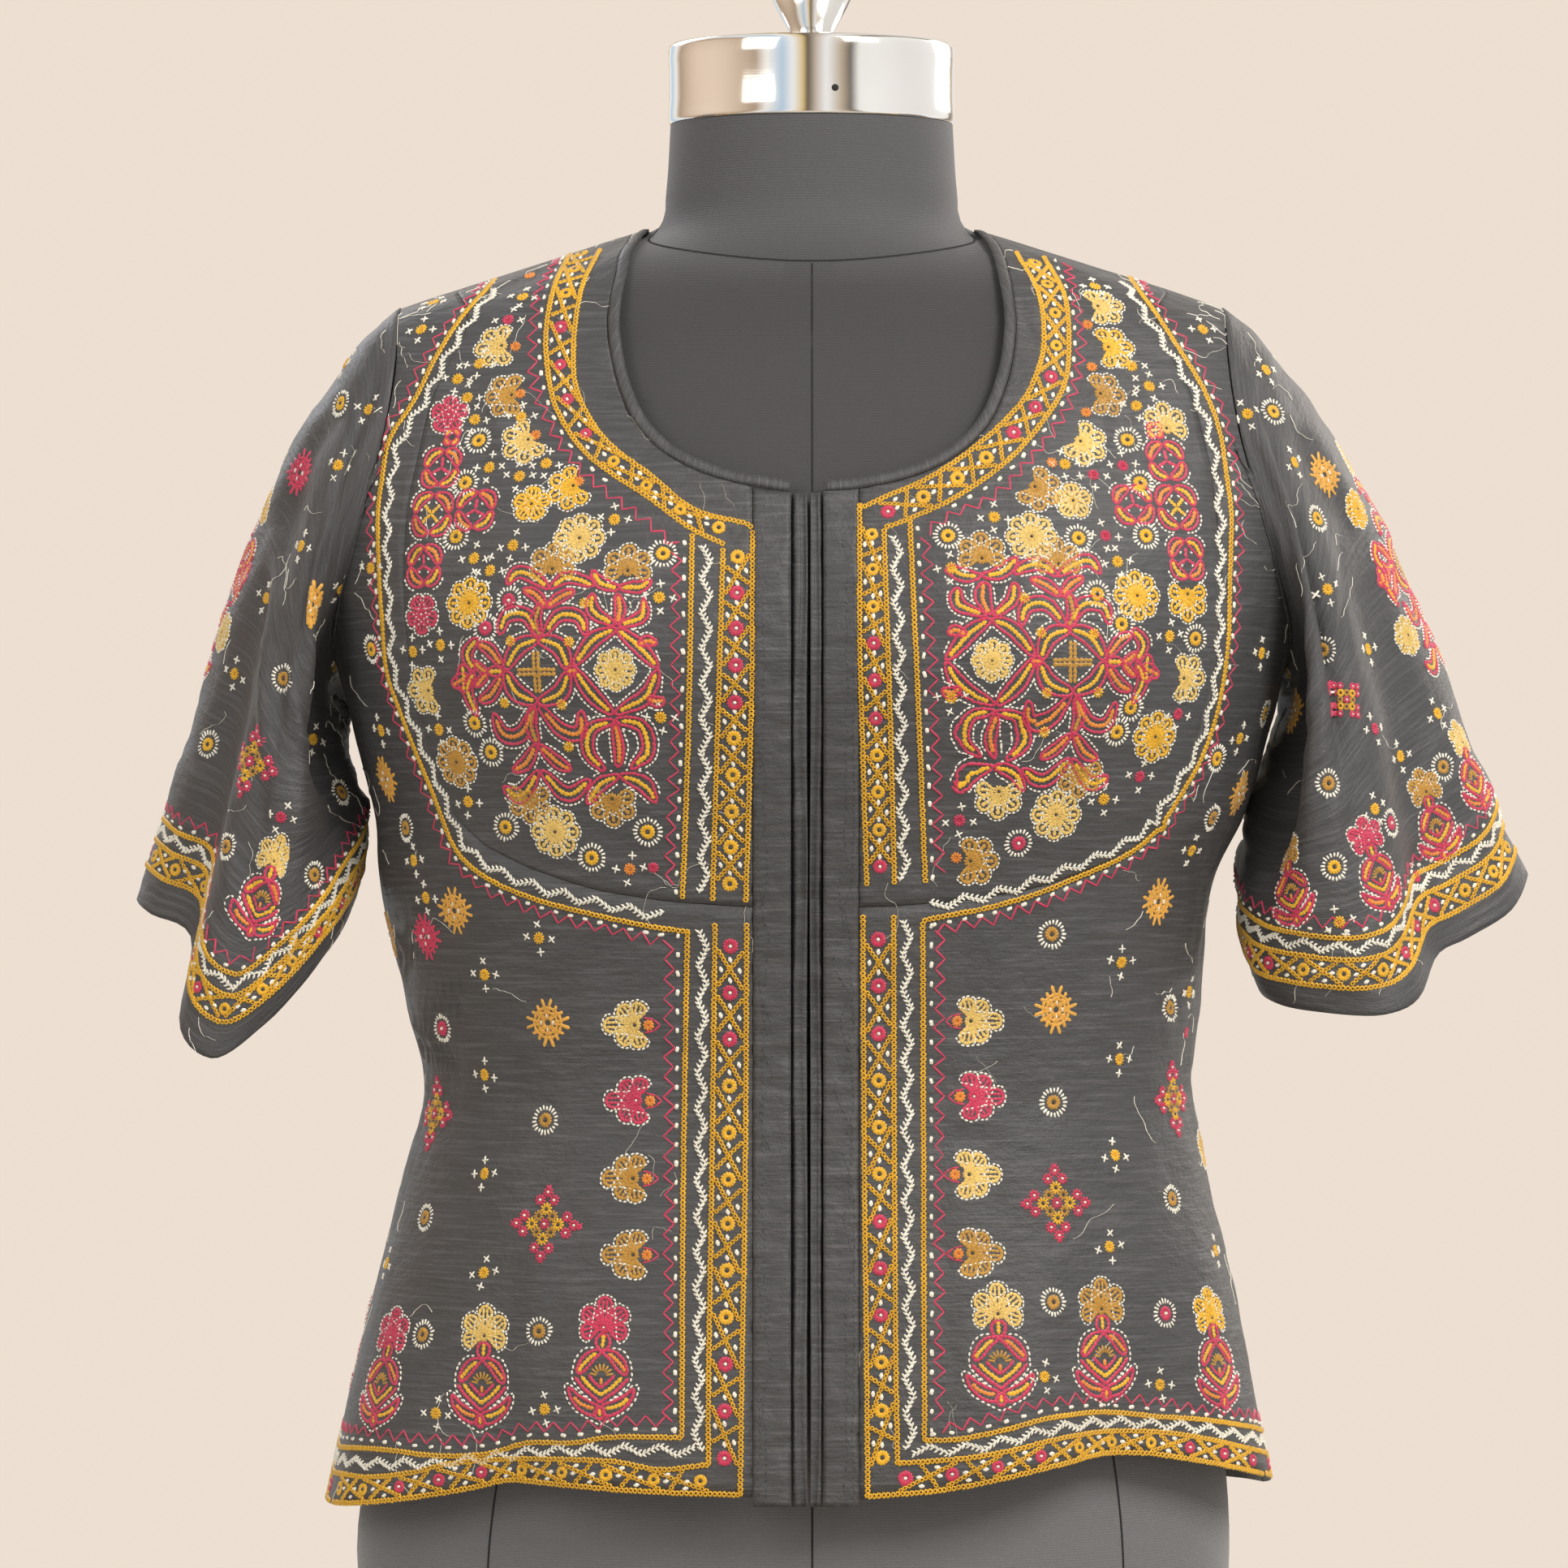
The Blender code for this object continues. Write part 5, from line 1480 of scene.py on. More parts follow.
def ladder(ground, inner, outer, colours):
    """Crosses of chain and round dots between two lines, with cream seeds round each crossing."""
    count = len(colours)
    a, b = spaced(inner, 1.0), spaced(outer, 1.0)
    share = np.linspace(0, 1, 2 * count + 1)
    at_a = a[np.round(share * (len(a) - 1)).astype(int)]
    at_b = b[np.round(share * (len(b) - 1)).astype(int)]
    middle = (at_a + at_b) / 2
    for k, code in enumerate(colours):
        i = 2 * k + 1
        colour = {"y": "yellow", "r": "crimson", "g": "gold"}[code]
        run = middle[i + 1] - middle[i - 1]
        wide = 2 * np.linalg.norm(b - middle[i], axis=1).min() / MM
        spot = Motif(ground, middle[i], run).beside(0, 0, np.clip(wide / 13.0, 0.8, 1.0))
        wheel(spot, 0, 0, colour, 3.4, 1.1, 14, 1.55)
    for i in range(2, 2 * count, 2):
        for start, end in ((at_a[i - 1], at_b[i + 1]), (at_b[i - 1], at_a[i + 1])):
            inset = (end - start) * 0.1
            chain(ground, np.array([start + inset, end - inset]), "yellow", 2.6)
        run, over = middle[i + 1] - middle[i - 1], at_b[i] - at_a[i]
        for along, across in ((0.22, 0), (-0.22, 0), (0, 0.29), (0, -0.29)):
            place = middle[i] + run * along + over * across
            reach = unit(run + 0.3 * over) * 1.25 * MM
            sew(ground, "cream", "dash", [place - reach], [place + reach], 2.1, 1.0)


def ring_template(sides=6):
    """A chain link: a loop of thread, narrow where it starts and round where it ends."""
    turn = np.linspace(0, 2 * math.pi, sides, endpoint=False)
    along = 0.5 - 0.5 * np.cos(turn)
    across = 0.5 * np.sin(turn) * (0.8 + 0.2 * along)
    out = np.stack([-np.cos(turn), np.sin(turn)], axis=1)
    thread = np.array([0.19, 0.17])
    points = []
    for k in range(sides):
        centre = np.array([along[k], across[k]])
        centre = (centre - (0.5, 0)) * (0.62, 0.66) + (0.5, 0)
        points.append((*(centre + out[k] * thread), -0.25))
        points.append((*centre, 1.0))
        points.append((*(centre - out[k] * thread), -0.25))
    faces = []
    for k in range(sides):
        n = (k + 1) % sides
        for j in (0, 1):
            faces.append((3 * k + j, 3 * k + j + 1, 3 * n + j + 1, 3 * n + j))
    return np.array(points), np.array(faces)


def bar_template(rows):
    """A straight stitch through rows of (distance along, width, height)."""
    points, faces = [], []
    for along, wide, high in rows:
        points += [(along, -0.5 * wide, -0.3), (along, 0.0, high), (along, 0.5 * wide, -0.3)]
    for k in range(len(rows) - 1):
        for j in range(2):
            faces.append((3 * k + j, 3 * k + 3 + j, 3 * k + 4 + j, 3 * k + 1 + j))
    return np.array(points), np.array(faces)


def dot_template():
    turn = np.linspace(0, 2 * math.pi, 8, endpoint=False)
    rim = np.stack([0.5 + 0.5 * np.cos(turn), 0.5 * np.sin(turn), np.full(8, -0.3)], axis=1)
    brow = np.stack([0.5 + 0.36 * np.cos(turn), 0.36 * np.sin(turn), np.full(8, 0.85)], axis=1)
    points = np.concatenate([rim, brow, [(0.5, 0, 1.0)]])
    faces = [(k, (k + 1) % 8, 8 + (k + 1) % 8, 8 + k) for k in range(8)]
    faces += [(8 + k, 8 + k + 1, 8 + (k + 2) % 8, 16) for k in range(0, 8, 2)]
    return points, np.array(faces)


def make_threads():
    """Joins the noted stitches, one mesh for each cloth and colour."""
    templates = {
        "link": ring_template(5), "dot": dot_template(),
        "bar": bar_template([(0, 0.5, 0.0), (0.16, 1, 0.9), (0.84, 1, 0.9), (1, 0.5, 0.0)]),
        "dash": bar_template([(0, 0.7, 0.2), (0.5, 1.1, 1.1), (1, 0.7, 0.2)]),
        "wisp": bar_template([(0, 1, 1), (1, 1, 1)]),
        "loop": bar_template([(0, 0.5, 0.2), (0.62, 1.1, 1.05), (1, 0.8, 0.3)]),
    }
    materials = {}
    for (region, colour), parts in sorted(STITCHES.items()):
        points, faces, first = [], [], 0
        for kind, a, b, over, wide, high in parts:
            shape, quads = templates[kind]
            along = b - a
            run = unit(along)
            up = unit(over - (over * run).sum(axis=1, keepdims=True) * run)
            side = np.cross(up, run)
            stitch = (
                a[:, None] + along[:, None] * shape[None, :, :1]
                + (side * wide[:, None])[:, None] * shape[None, :, 1:2]
                + (up * high[:, None])[:, None] * shape[None, :, 2:3]
            )
            count = len(a)
            points.append(stitch.reshape(-1, 3))
            faces.append(
                (quads[None] + np.arange(count)[:, None, None] * len(shape) + first).reshape(-1, 4)
            )
            first += count * len(shape)
        if colour not in materials:
            materials[colour] = thread_material(colour)
        obj = mesh_object(f"thread_{region}_{colour.replace(' ', '_')}", np.concatenate(points),
                          np.concatenate(faces), materials[colour])
        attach(obj, "root")


# Embroidered border lines on the front, as pixels of the photograph (1932 across).
EDGE_LINES = {
    "left": {
        "neck_inner": "739,308 718,351 708,406 708,468 724,511 752,548 801,585 856,628 930,647",
        "neck_outer": (
            "702,314 684,351 673,406 675,456 684,499 708,542 739,573 795,610 850,650 893,671"
        ),
        "neck_zigzag": "687,320 662,363 656,425 662,486 684,536 715,579 752,610 795,642 834,672",
        "cup": (
            "610,345 567,394 536,443 511,493 480,542 471,591 466,636 468,713 472,774 477,828 "
            "495,881 516,935 535,981 554,1031 573,1061 611,1088 669,1111 745,1130 803,1142 "
            "850,1148"
        ),
        "upper": {
            "C": "931,650 925,900 919,1112",
            "B": "891,676 884,900 878,1110",
            "feather": "870,672 869,900 867,1100",
            "A": "853,658 848,900 841,1108",
            "zigzag": "834,680 831,900 825,1090",
        },
        "lower": {
            "C": "920,1138 918,1450 914,1700 912,1844",
            "B": "881,1138 877,1450 873,1700 873,1806",
            "feather": "866,1146 863,1450 860,1788",
            "A": "847,1148 842,1450 840,1772",
            "zigzag": "824,1158 824,1450 823,1752",
        },
        "hem": {
            "C": (
                "912,1844 829,1840 757,1839 686,1831 629,1820 579,1825 525,1841 471,1846 "
                "429,1843 411,1828"
            ),
            "B": (
                "873,1806 811,1812 757,1805 668,1799 614,1794 550,1799 507,1812 454,1814 "
                "414,1794"
            ),
            "A": "840,1772 757,1774 704,1780 650,1778 600,1787 536,1791 471,1783 421,1771",
            "feather": "856,1789 757,1790 668,1789 600,1791 540,1800 507,1801 454,1798 418,1782",
            "zigzag": "820,1752 757,1754 704,1760 650,1758 600,1768 536,1772 471,1764 426,1752",
        },
        "dots": {
            "neck": "yyyrrrryyyy",
            "upper": "yrrrryyyyy",
            "lower": "rrryyyyyyrrr",
            "hem": "yyyyyrrryy",
        },
    },
    "right": {
        "neck_inner": (
            "1252,311 1280,363 1286,425 1274,468 1256,499 1212,542 1151,585 1089,613 1053,630"
        ),
        "neck_outer": (
            "1286,317 1311,363 1317,419 1311,474 1286,517 1243,566 1182,610 1125,637 1090,650"
        ),
        "neck_zigzag": "1314,326 1330,394 1330,456 1311,511 1274,560 1225,610 1169,636 1142,655",
        "cup": (
            "1391,342 1425,388 1453,431 1483,480 1502,530 1511,585 1517,636 1515,713 1513,790 "
            "1502,866 1483,927 1456,977 1425,1023 1387,1054 1330,1080 1272,1103 1215,1119 "
            "1157,1130 1136,1135"
        ),
        "upper": {
            "C": "1054,630 1061,860 1068,1092",
            "B": "1089,652 1096,860 1102,1090",
            "feather": "1104,660 1109,860 1114,1085",
            "A": "1121,640 1131,860 1140,1088",
            "zigzag": "1140,662 1150,860 1158,1075",
        },
        "lower": {
            "C": "1063,1128 1065,1450 1068,1700 1069,1846",
            "B": "1101,1128 1102,1450 1104,1700 1106,1805",
            "feather": "1117,1134 1118,1450 1121,1786",
            "A": "1137,1136 1138,1450 1139,1776",
            "zigzag": "1158,1146 1157,1450 1157,1750",
        },
        "hem": {
            "C": (
                "1069,1846 1129,1842 1183,1831 1236,1814 1308,1799 1361,1791 1415,1798 1469,1815 "
                "1515,1829 1556,1826"
            ),
            "B": "1106,1805 1183,1796 1240,1781 1297,1769 1361,1764 1426,1774 1486,1792 1554,1799",
            "A": "1139,1776 1183,1772 1236,1756 1297,1742 1361,1740 1426,1753 1486,1765 1549,1769",
            "feather": (
                "1124,1789 1183,1784 1238,1769 1297,1756 1361,1752 1426,1763 1486,1778 1551,1784"
            ),
            "zigzag": (
                "1160,1760 1219,1744 1269,1728 1326,1722 1379,1726 1433,1735 1486,1748 1546,1750"
            ),
        },
        "dots": {
            "neck": "yyyyrrryyyr",
            "upper": "yyyrrryyyr",
            "lower": "rrryyyrrryyy",
            "hem": "rrrryyyrrr",
        },
    },
}


# How far each hem row is moved with the cloth's own hem, which is a little off the photo's.
HEM_FOLLOW = {"C": 1.0, "B": 1.0, "feather": 0.9, "A": 0.8, "zigzag": 0.6}
HEM_TURN_IN = 3


def hem_rows(name):
    """The photo's hem rows of one side, in pixels, moved with the cloth's own hem."""
    angles = np.radians(np.arange(4.0, 81.0, 2.0)) * (1 if name == "right" else -1)
    places = blouse_point(angles, hem_height(angles))
    near = CAMERA[1] / (CAMERA[1] - places[:, 1])
    px = MIDDLE_PX + (CAMERA[0] + (places[:, 0] - CAMERA[0]) * near) / PIXEL
    py = FLOOR_PY - (CAMERA[2] + (places[:, 2] - CAMERA[2]) * near) / PIXEL
    order = np.argsort(px)
    lines = {row: read_points(line) for row, line in EDGE_LINES[name]["hem"].items()}
    drawn = np.array(sorted(lines["C"]))
    for row, follow in HEM_FOLLOW.items():
        at = np.array(lines[row])
        edge = np.interp(at[:, 0], px[order], py[order]) - HEM_TURN_IN
        at[:, 1] += follow * (edge - np.interp(at[:, 0], drawn[:, 0], drawn[:, 1]))
        lines[row] = at
    return lines


def make_front_borders(ground, name):
    """The rows of stitches along the neck, the front edge, the cup and the hem of one side."""
    lines = EDGE_LINES[name]
    dots = lines["dots"]

    def row(pixels, count=None):
        pixels = read_points(pixels) if isinstance(pixels, str) else pixels
        return ground.seen_line(rounded(pixels[:count], n=8))

    neck_in, neck_out = row(lines["neck_inner"]), row(lines["neck_outer"])
    chain(ground, neck_in, "yellow")
    chain(ground, neck_out, "yellow")
    ladder(ground, neck_in, neck_out, dots["neck"])
    zigzag(ground, row(lines["neck_zigzag"]))
    seeds(ground, (row(lines["neck_zigzag"], 7) + row(lines["neck_outer"], 7)) / 2)
    cup = row(lines["cup"])
    chain(ground, cup, "yellow")
    inward = 1 if name == "right" else -1
    braid(ground, beside(ground, cup, 5.2 * inward)[2:-6])
    zigzag(ground, beside(ground, cup, -5.0 * inward)[:-6])
    seeds(ground, beside(ground, cup, -2.7 * inward)[:-6], 6.6)
    parts = {"upper": lines["upper"], "lower": lines["lower"], "hem": hem_rows(name)}
    for part, pixels in parts.items():
        rows = {name: row(line) for name, line in pixels.items()}
        for name in "ABC":
            chain(ground, rows[name], "yellow")
        braid(ground, rows["feather"])
        zigzag(ground, rows["zigzag"])
        near = beside(ground, rows["zigzag"], 0)
        other = spaced(rows["A"], 1.0)
        pick = np.linspace(0, len(other) - 1, len(near)).astype(int)
        seeds(ground, near * 0.5 + other[pick] * 0.5)
        ladder(ground, rows["B"], rows["C"], dots[part])


# Motifs on the front: kind, colour, place in the photograph, and turn in degrees where it has one.
FRONT_MOTIFS = """
flower light_gold 714,663
half gold 682,690,0 774,692,0
flower yellow 578,743
flower gold 563,939
flower light_gold 684,1025
half gold 653,992,180 755,996,180
half light_gold 520,851,90
half yellow 696,604,120
small yellow 655,621,0
half light_gold 607,428,100
half gold 619,488,95
half light_gold 641,548,125
eyelet yellow 590,543 573,595 562,661 817,682
eyelet crimson 627,740 598,774
eyelet yellow 585,891 605,927 623,1019 729,1057 798,1025
dot yellow 629,790 701,791 720,743 622,866 692,868 701,920
dot orange 635,427 641,485 660,536 713,593 653,340
dot crimson 805,1069
cross yellow 644,366
cross crimson 626,394
cross yellow 591,448 564,467 576,490 585,517 642,514 603,576 640,587 673,571 584,688 632,672
cross yellow 604,703 509,803 543,795 541,899 577,988 757,640 812,736 814,884
cross orange 776,1071
flower light_gold 1271,661
half gold 1209,677,0 1303,684,0 1285,606,-125
small light_gold 1322,617
flower yellow 1401,734
half yellow 1463,744,180
flower yellow 1423,908
flower light_gold 1301,1004
half light_gold 1230,987,180
half gold 1330,962,180 1207,1061,-90
half light_gold 1467,836,-90 1363,377,-85
half yellow 1376,428,-90
half gold 1366,486,-95
half light_gold 1341,550,-125 1435,517,0
dot orange 1178,1057 1340,400 1345,452 1338,508 1296,570
eyelet yellow 1389,542 1405,595 1168,660 1329,663 1412,660 1352,732 1382,769 1473,787 1393,872
eyelet yellow 1376,902
eyelet crimson 1255,1039
dot yellow 1283,780 1348,781 1262,737 1290,854 1353,853 1287,902
cross yellow 1349,353 1394,451 1416,476 1400,500 1312,572
cross crimson 1347,585 1383,574
cross yellow 1225,637 1377,692
cross crimson 1362,660
cross yellow 1441,784
cross crimson 1451,880 1404,957
cross yellow 1360,985
cross crimson 1182,1011
cross yellow 1172,700 1172,860 664,1156 597,1201 597,1324 597,1446 596,1568 477,1556 537,1741
cross yellow 671,1736 525,1106
spiky amber 675,1260 560,1122 483,1151
spiky crimson 525,1154
side light_gold 782,1263,90
side crimson 784,1356,90
side gold 780,1452,90 780,1546,90
eyelet gold 672,1380
eyelet crimson 545,1267
eyelet gold 524,1500 521,1644 664,1640
rosette none 671,1508 536,1372
plant crimson 469,1703
plant light_gold 594,1703
plant crimson 741,1693
eyelet gold 1296,1151 1441,1242 1298,1358 1444,1477 1298,1604
eyelet crimson 1436,1618
cross yellow 1382,1186 1379,1305 1374,1423 1367,1536 1497,1541 1465,1222 1287,1696 1429,1706
spiky amber 1301,1244 1427,1111
side light_gold 1196,1258,-90
side crimson 1200,1351,-90
side light_gold 1194,1447,-90
side gold 1198,1544,-90
rosette none 1302,1482 1445,1354
small yellow 1480,1417
dot crimson 1461,1272
plant light_gold 1232,1676
plant gold 1361,1670
plant yellow 1501,1680
cross yellow 1482,406 1554,805
eyelet yellow 1558,879
cross yellow 1527,910
eyelet yellow 1499,935
spiky amber 1527,978
eyelet gold 1494,1008
cross yellow 1468,1048 534,373 519,406 457,700
eyelet yellow 458,800
cross yellow 470,900
spiky amber 476,960
eyelet gold 500,1020
cross yellow 510,1060
"""


def draw_motif(kind, colour, motif):
    """Sews one motif of a kind that the tables name."""
    if kind == "half":
        flower(motif.beside(0, -4.0), colour, 5, 9.4, None, 196, -8)
    elif kind == "small":
        flower(motif, colour, 5, 7.6)
    elif kind == "rosette":
        rosette(motif)
    else:
        draw = {"flower": flower, "side": side_flower, "eyelet": eyelet, "dot": dot,
                "cross": dot_and_crosses, "spiky": spiky, "plant": plant}[kind]
        draw(motif, colour)


def draw_table(ground, table, up=(0, 0, 1)):
    """Sews a table's motifs: each row has a kind, a colour and its places px,py,turn,size."""
    for line in table.strip().split("\n"):
        kind, colour, *places = line.split()
        for place in places:
            px, py, *more = (float(n) for n in place.split(","))
            motif = Motif(ground, ground.seen(px, py), up, *more)
            draw_motif(kind, colour.replace("_", " "), motif)


# The large figure of the cups and sleeves, in millimetres from its own middle: the colour inside,
# the width, and the middle line of each of its curved bands.
LARGE_FIGURE = """
yellow 5.2 -15,39 -10.5,45 -3,43 5.5,37.5
yellow 5.2 5.5,37.5 13,43.5 20,43 25.5,39.5
orange 4.6 -6.5,37 -1,34 4.5,28
orange 4.6 17.5,37 11.5,34 4.5,28
yellow 5.6 -17,16 -14.5,24 -5,24.5 1,15
yellow 5.6 22.5,15.5 20,23.5 11,24.5 3,15
gold 4.4 1.5,30 -0.5,22 2,14
yellow 6.4 1.5,14 -8,10.5 -14.5,1
yellow 6.4 0.5,14 10.5,10.5 14.5,0.5
yellow 6.4 -14.5,0.5 -10,-8.5 -0.5,-13
yellow 6.4 14.5,0 10,-9 -0.5,-13
orange 5.6 -21.5,-17.5 -18,-27 -9,-26 -2,-14
orange 5.6 19,-16.5 17.5,-26 9,-24.5 0,-14
gold 4.4 -2,-15 -4.5,-23 -2.5,-31
orange 4.6 -15.5,-42.5 -9,-39 -3,-31
orange 4.6 12,-42 6,-38.5 -2,-31
yellow 5.4 -22,-50 -13,-53 -3,-42
yellow 5.4 20,-46.5 9,-52.5 -2,-42
orange 4.6 -28,12 -22,9.5 -15.5,2
orange 4.6 -28.5,-12.5 -22,-9.5 -15.5,-1
yellow 5 -28,14.5 -34,7.5 -30,0.5
yellow 5 -30,0 -34.5,-8 -30,-19
orange 5.4 -33.5,-1.5 -38.5,-4 -43.5,-6
yellow 5.2 23.5,48 30,41 39,38.5
yellow 5.2 39,38.5 48,40 55,44.5
yellow 5 25.5,35.5 26.5,27 35.5,20.5
orange 4.6 38,36 39,29 36.5,21
yellow 5 50,34.5 49.5,26 38,20.5
yellow 5.6 36,19 26,13.5 17,2.5
yellow 5.6 36.5,19 46,12 55.5,0.5
yellow 5.6 17,1.5 24,-9.5 33,-19
yellow 5.6 55.5,0 48,-12 34,-19
orange 4.2 46.5,12 51.5,14 55,12.5
orange 4.2 49,-12 53,-14.5 56.5,-13
yellow 5 33.5,-21.5 22.5,-25 20.5,-35 27,-43
orange 4.6 33.5,-22.5 34.5,-32 33,-42
yellow 5 34,-21.5 45,-25 47,-35 39,-43
yellow 8 -37,3 -36,-3 -37,-9
orange 3.4 -30,4.5 -26,1 -23,0
orange 3.4 -30,-6.5 -26,-3 -23,0
yellow 4 -23,0 -19,0.4 -15.5,0
orange 4.2 13.5,0 16,0.4 18.5,1
yellow 5 18,-57 24,-49 33,-45.5
yellow 5 33.5,-45.5 43,-49 49,-57
"""
# The linked rounds beside the shoulder seam of each cup: middle and radius.
SIDE_CHAIN = [(0.7, 21.0, 9.2), (0.0, 0.0, 10.4), (20.8, 1.6, 9.4), (-1.4, -22.6, 9.4),
              (3.2, 35.0, 3.8)]


def figure(motif, bands):
    """Curved bands of crimson chain with another colour inside and one cream outline round all."""
    middles, halves, rims = [], [], []
    for filling, width, points in bands:
        line = rounded(points, n=10)
        run = unit(np.gradient(line, axis=0))
        side = np.stack([-run[:, 1], run[:, 0]], axis=1)
        share = np.linspace(0, 1, len(line))
        half = 1.42 * width / 2 * (0.14 + 0.86 * np.sin(np.pi * share) ** 0.6)
        offset = side * half[:, None] * 0.76
        shape = np.concatenate([line + offset, (line - offset)[::-1], line[:1] + offset[:1]])
        chain(motif.ground, motif.at(shape), "crimson", 1.75, 1.85, 0.85)
        keep = slice(len(line) // 8, len(line) - len(line) // 8)
        chain(motif.ground, motif.at(line[keep]), filling, 2.5, 1.8, 0.9)
        middles.append(line)
        halves.append(half)
        rim = side * (half + 1.0)[:, None]
        rims += [line + rim, line - rim]
    middles, halves = np.concatenate(middles), np.concatenate(halves)
    for rim in rims:
        points = spaced(rim * MM, 2.05) / MM
        at = (points[1:] + points[:-1]) / 2
        clear = np.linalg.norm(at[:, None] - middles[None], axis=2) - halves[None]
        keep = clear.min(axis=1) > 0.7
        step = np.diff(points, axis=0) * 0.37
        if keep.any():
            sew(motif.ground, "cream", "dash", motif.at((at - step)[keep]),
                motif.at((at + step)[keep]), 1.1, 0.75)


def large_figure(motif):
    """The figure of LARGE_FIGURE with a gold cross in its middle and a flower beside it."""
    bands = [line.split(maxsplit=2) for line in LARGE_FIGURE.strip().split("\n")]
    figure(motif, [(colour, float(wide), read_points(line)) for colour, wide, line in bands])
    for turn in range(0, 360, 90):
        a = math.radians(turn)
        for lean in (-0.95, 0.95):
            line = np.array([(0.6, lean), (8.6, lean)])
            turned = line @ np.array([[math.cos(a), math.sin(a)], [-math.sin(a), math.cos(a)]])
            chain(motif.ground, motif.at(turned), "gold", 2.2, 1.8)
    flower(motif.beside(35.5, 0.5, 0.86), "light gold")


def side_chain(motif):
    """The linked rounds of SIDE_CHAIN, each of four bands with spokes of chain inside."""
    bands = []
    for x, y, r in SIDE_CHAIN:
        for start in (0, 90, 180, 270):
            a = np.radians(start + np.array([4, 45, 86]))
            bands.append(("yellow" if start % 180 else "orange", min(4.6, r * 0.62),
                          np.stack([x + r * 0.86 * np.cos(a), y + r * 0.86 * np.sin(a)], axis=1)))
    figure(motif, bands)
    for x, y, r in SIDE_CHAIN[:4]:
        colour = "yellow" if (x, y) == (0.0, 0.0) else "crimson"
        for turn in (45, 135, 225, 315) if colour == "yellow" else (90, 210, 330):
            way = np.array([math.cos(math.radians(turn)), math.sin(math.radians(turn))])
            chain(motif.ground, motif.at([(x, y) + way * 0.6, (x, y) + way * 0.5 * r]), colour,
                  2.1, 1.7)


def loose_threads(ground, places):
    """Stray ends of cream floss that curl over the cloth."""
    for place in places:
        motif = Motif(ground, place, turn=RNG.uniform(0, 360))
        steps = RNG.integers(5, 12)
        heading = np.cumsum(RNG.normal(0, 0.42, steps))
        walk = np.cumsum(np.stack([np.cos(heading), np.sin(heading)], axis=1), axis=0)
        line = rounded(np.concatenate([[(0, 0)], walk * RNG.uniform(1.2, 2.8)]), n=2)
        world = motif.at(line)
        sew(ground, "cream", "wisp", world[:-1], world[1:], 0.17, 0.3)


def around_body(theta, z):
    return blouse_point(np.radians(theta), z * MM + 0.0 * np.asarray(theta, float))


def make_back_embroidery(ground):
    """The hem rows go on round the back, with rows of the front's motifs above them."""
    fronts = [hem_rows(side) for side in ("left", "right")]
    ends = np.degrees([math.atan2(x, -y) for x, y, _ in (
        ground.seen(*front["B"][-1]) for front in fronts
    )])
    theta = np.linspace(ends[1], 360 + ends[0], 130)
    low = hem_height(np.radians(theta)) / MM
    at_left, at_right = ramp(1 - (360 + ends[0] - theta) / 30), ramp(1 - (theta - ends[1]) / 30)
    rows = {}
    for name, up in (("C", 2.6), ("B", 15.5), ("feather", 21.0), ("A", 26.0), ("zigzag", 32.5)):
        left, right = (
            (ground.seen(*front[name][-1])[2] - hem_height(math.radians(end))) / MM
            for front, end in zip(fronts, ends)
        )
        up = up + (left - up) * at_left + (right - up) * at_right
        rows[name] = around_body(theta, low + up)
    rows["seeds"] = (rows["A"] + rows["zigzag"]) / 2
    for name in "ABC":
        chain(ground, rows[name], "yellow")
    braid(ground, rows["feather"])
    seeds(ground, rows["seeds"])
    zigzag(ground, rows["zigzag"])
    ladder(ground, rows["B"], rows["C"], "rrryyyrrryyy" * 2 + "rrryyyr")
    colours = ("light gold", "crimson", "gold", "yellow")
    for k, angle in enumerate(np.linspace(ends[1] + 14, 346 + ends[0], 10)):
        z = hem_height(math.radians(angle)) / MM + 56
        plant(Motif(ground, around_body(angle, z)), colours[k % 4])
    kinds = ("cross", "rosette", "cross", "spiky", "eyelet", "cross", "spiky", "cross")
    for j, z in enumerate((214, 258, 302, 346, 390, 434, 478, 522, 566)):
        wide = 80 if z < 430 else 66
        for i, angle in enumerate(np.linspace(180 - wide, 180 + wide, 10 - (z > 430))):
            angle = angle + (j % 2) * wide / 9
            near_middle = abs(angle - 180) < 56 and 350 < z < 545
            if near_middle or angle > 180 + wide:
                continue
            kind = kinds[(3 * i + 5 * j) % 8]
            colour = ("yellow", "gold", "crimson")[(i + j) % 3]
            if kind == "spiky":
                colour = "amber"
            draw_motif(kind, colour, Motif(ground, around_body(angle, float(z))))
    for turn in (-1, 1):
        large_figure(Motif(ground, around_body(180.0 + 26 * turn, 448.0), flip=turn))
        for angle, z, colour in ((26, 510, "light gold"), (10, 504, "gold"), (40, 494, "yellow"),
                                 (27, 384, "light gold"), (8, 378, "gold")):
            flower(Motif(ground, around_body(180.0 + turn * angle, float(z))), colour)

    def neck_row(distance):
        curve = moved(neckline(), -distance * MM)
        behind = (curve[:, 0] > math.radians(93)) & (curve[:, 0] < math.radians(267))
        return blouse_point(curve[behind, 0], curve[behind, 1])

    upper, lower = neck_row(18.0), neck_row(31.5)
    chain(ground, upper, "yellow")
    chain(ground, lower, "yellow")
    ladder(ground, upper, lower, "yyyrrryyrrryyy")
    zigzag(ground, neck_row(37.0))


SLEEVE_ROWS = {-1: (16.0, 27.5, 32.5, 37.0, 39.6, 43.0), 1: (12.5, 25.0, 30.0, 34.5, 37.5, 41.0)}

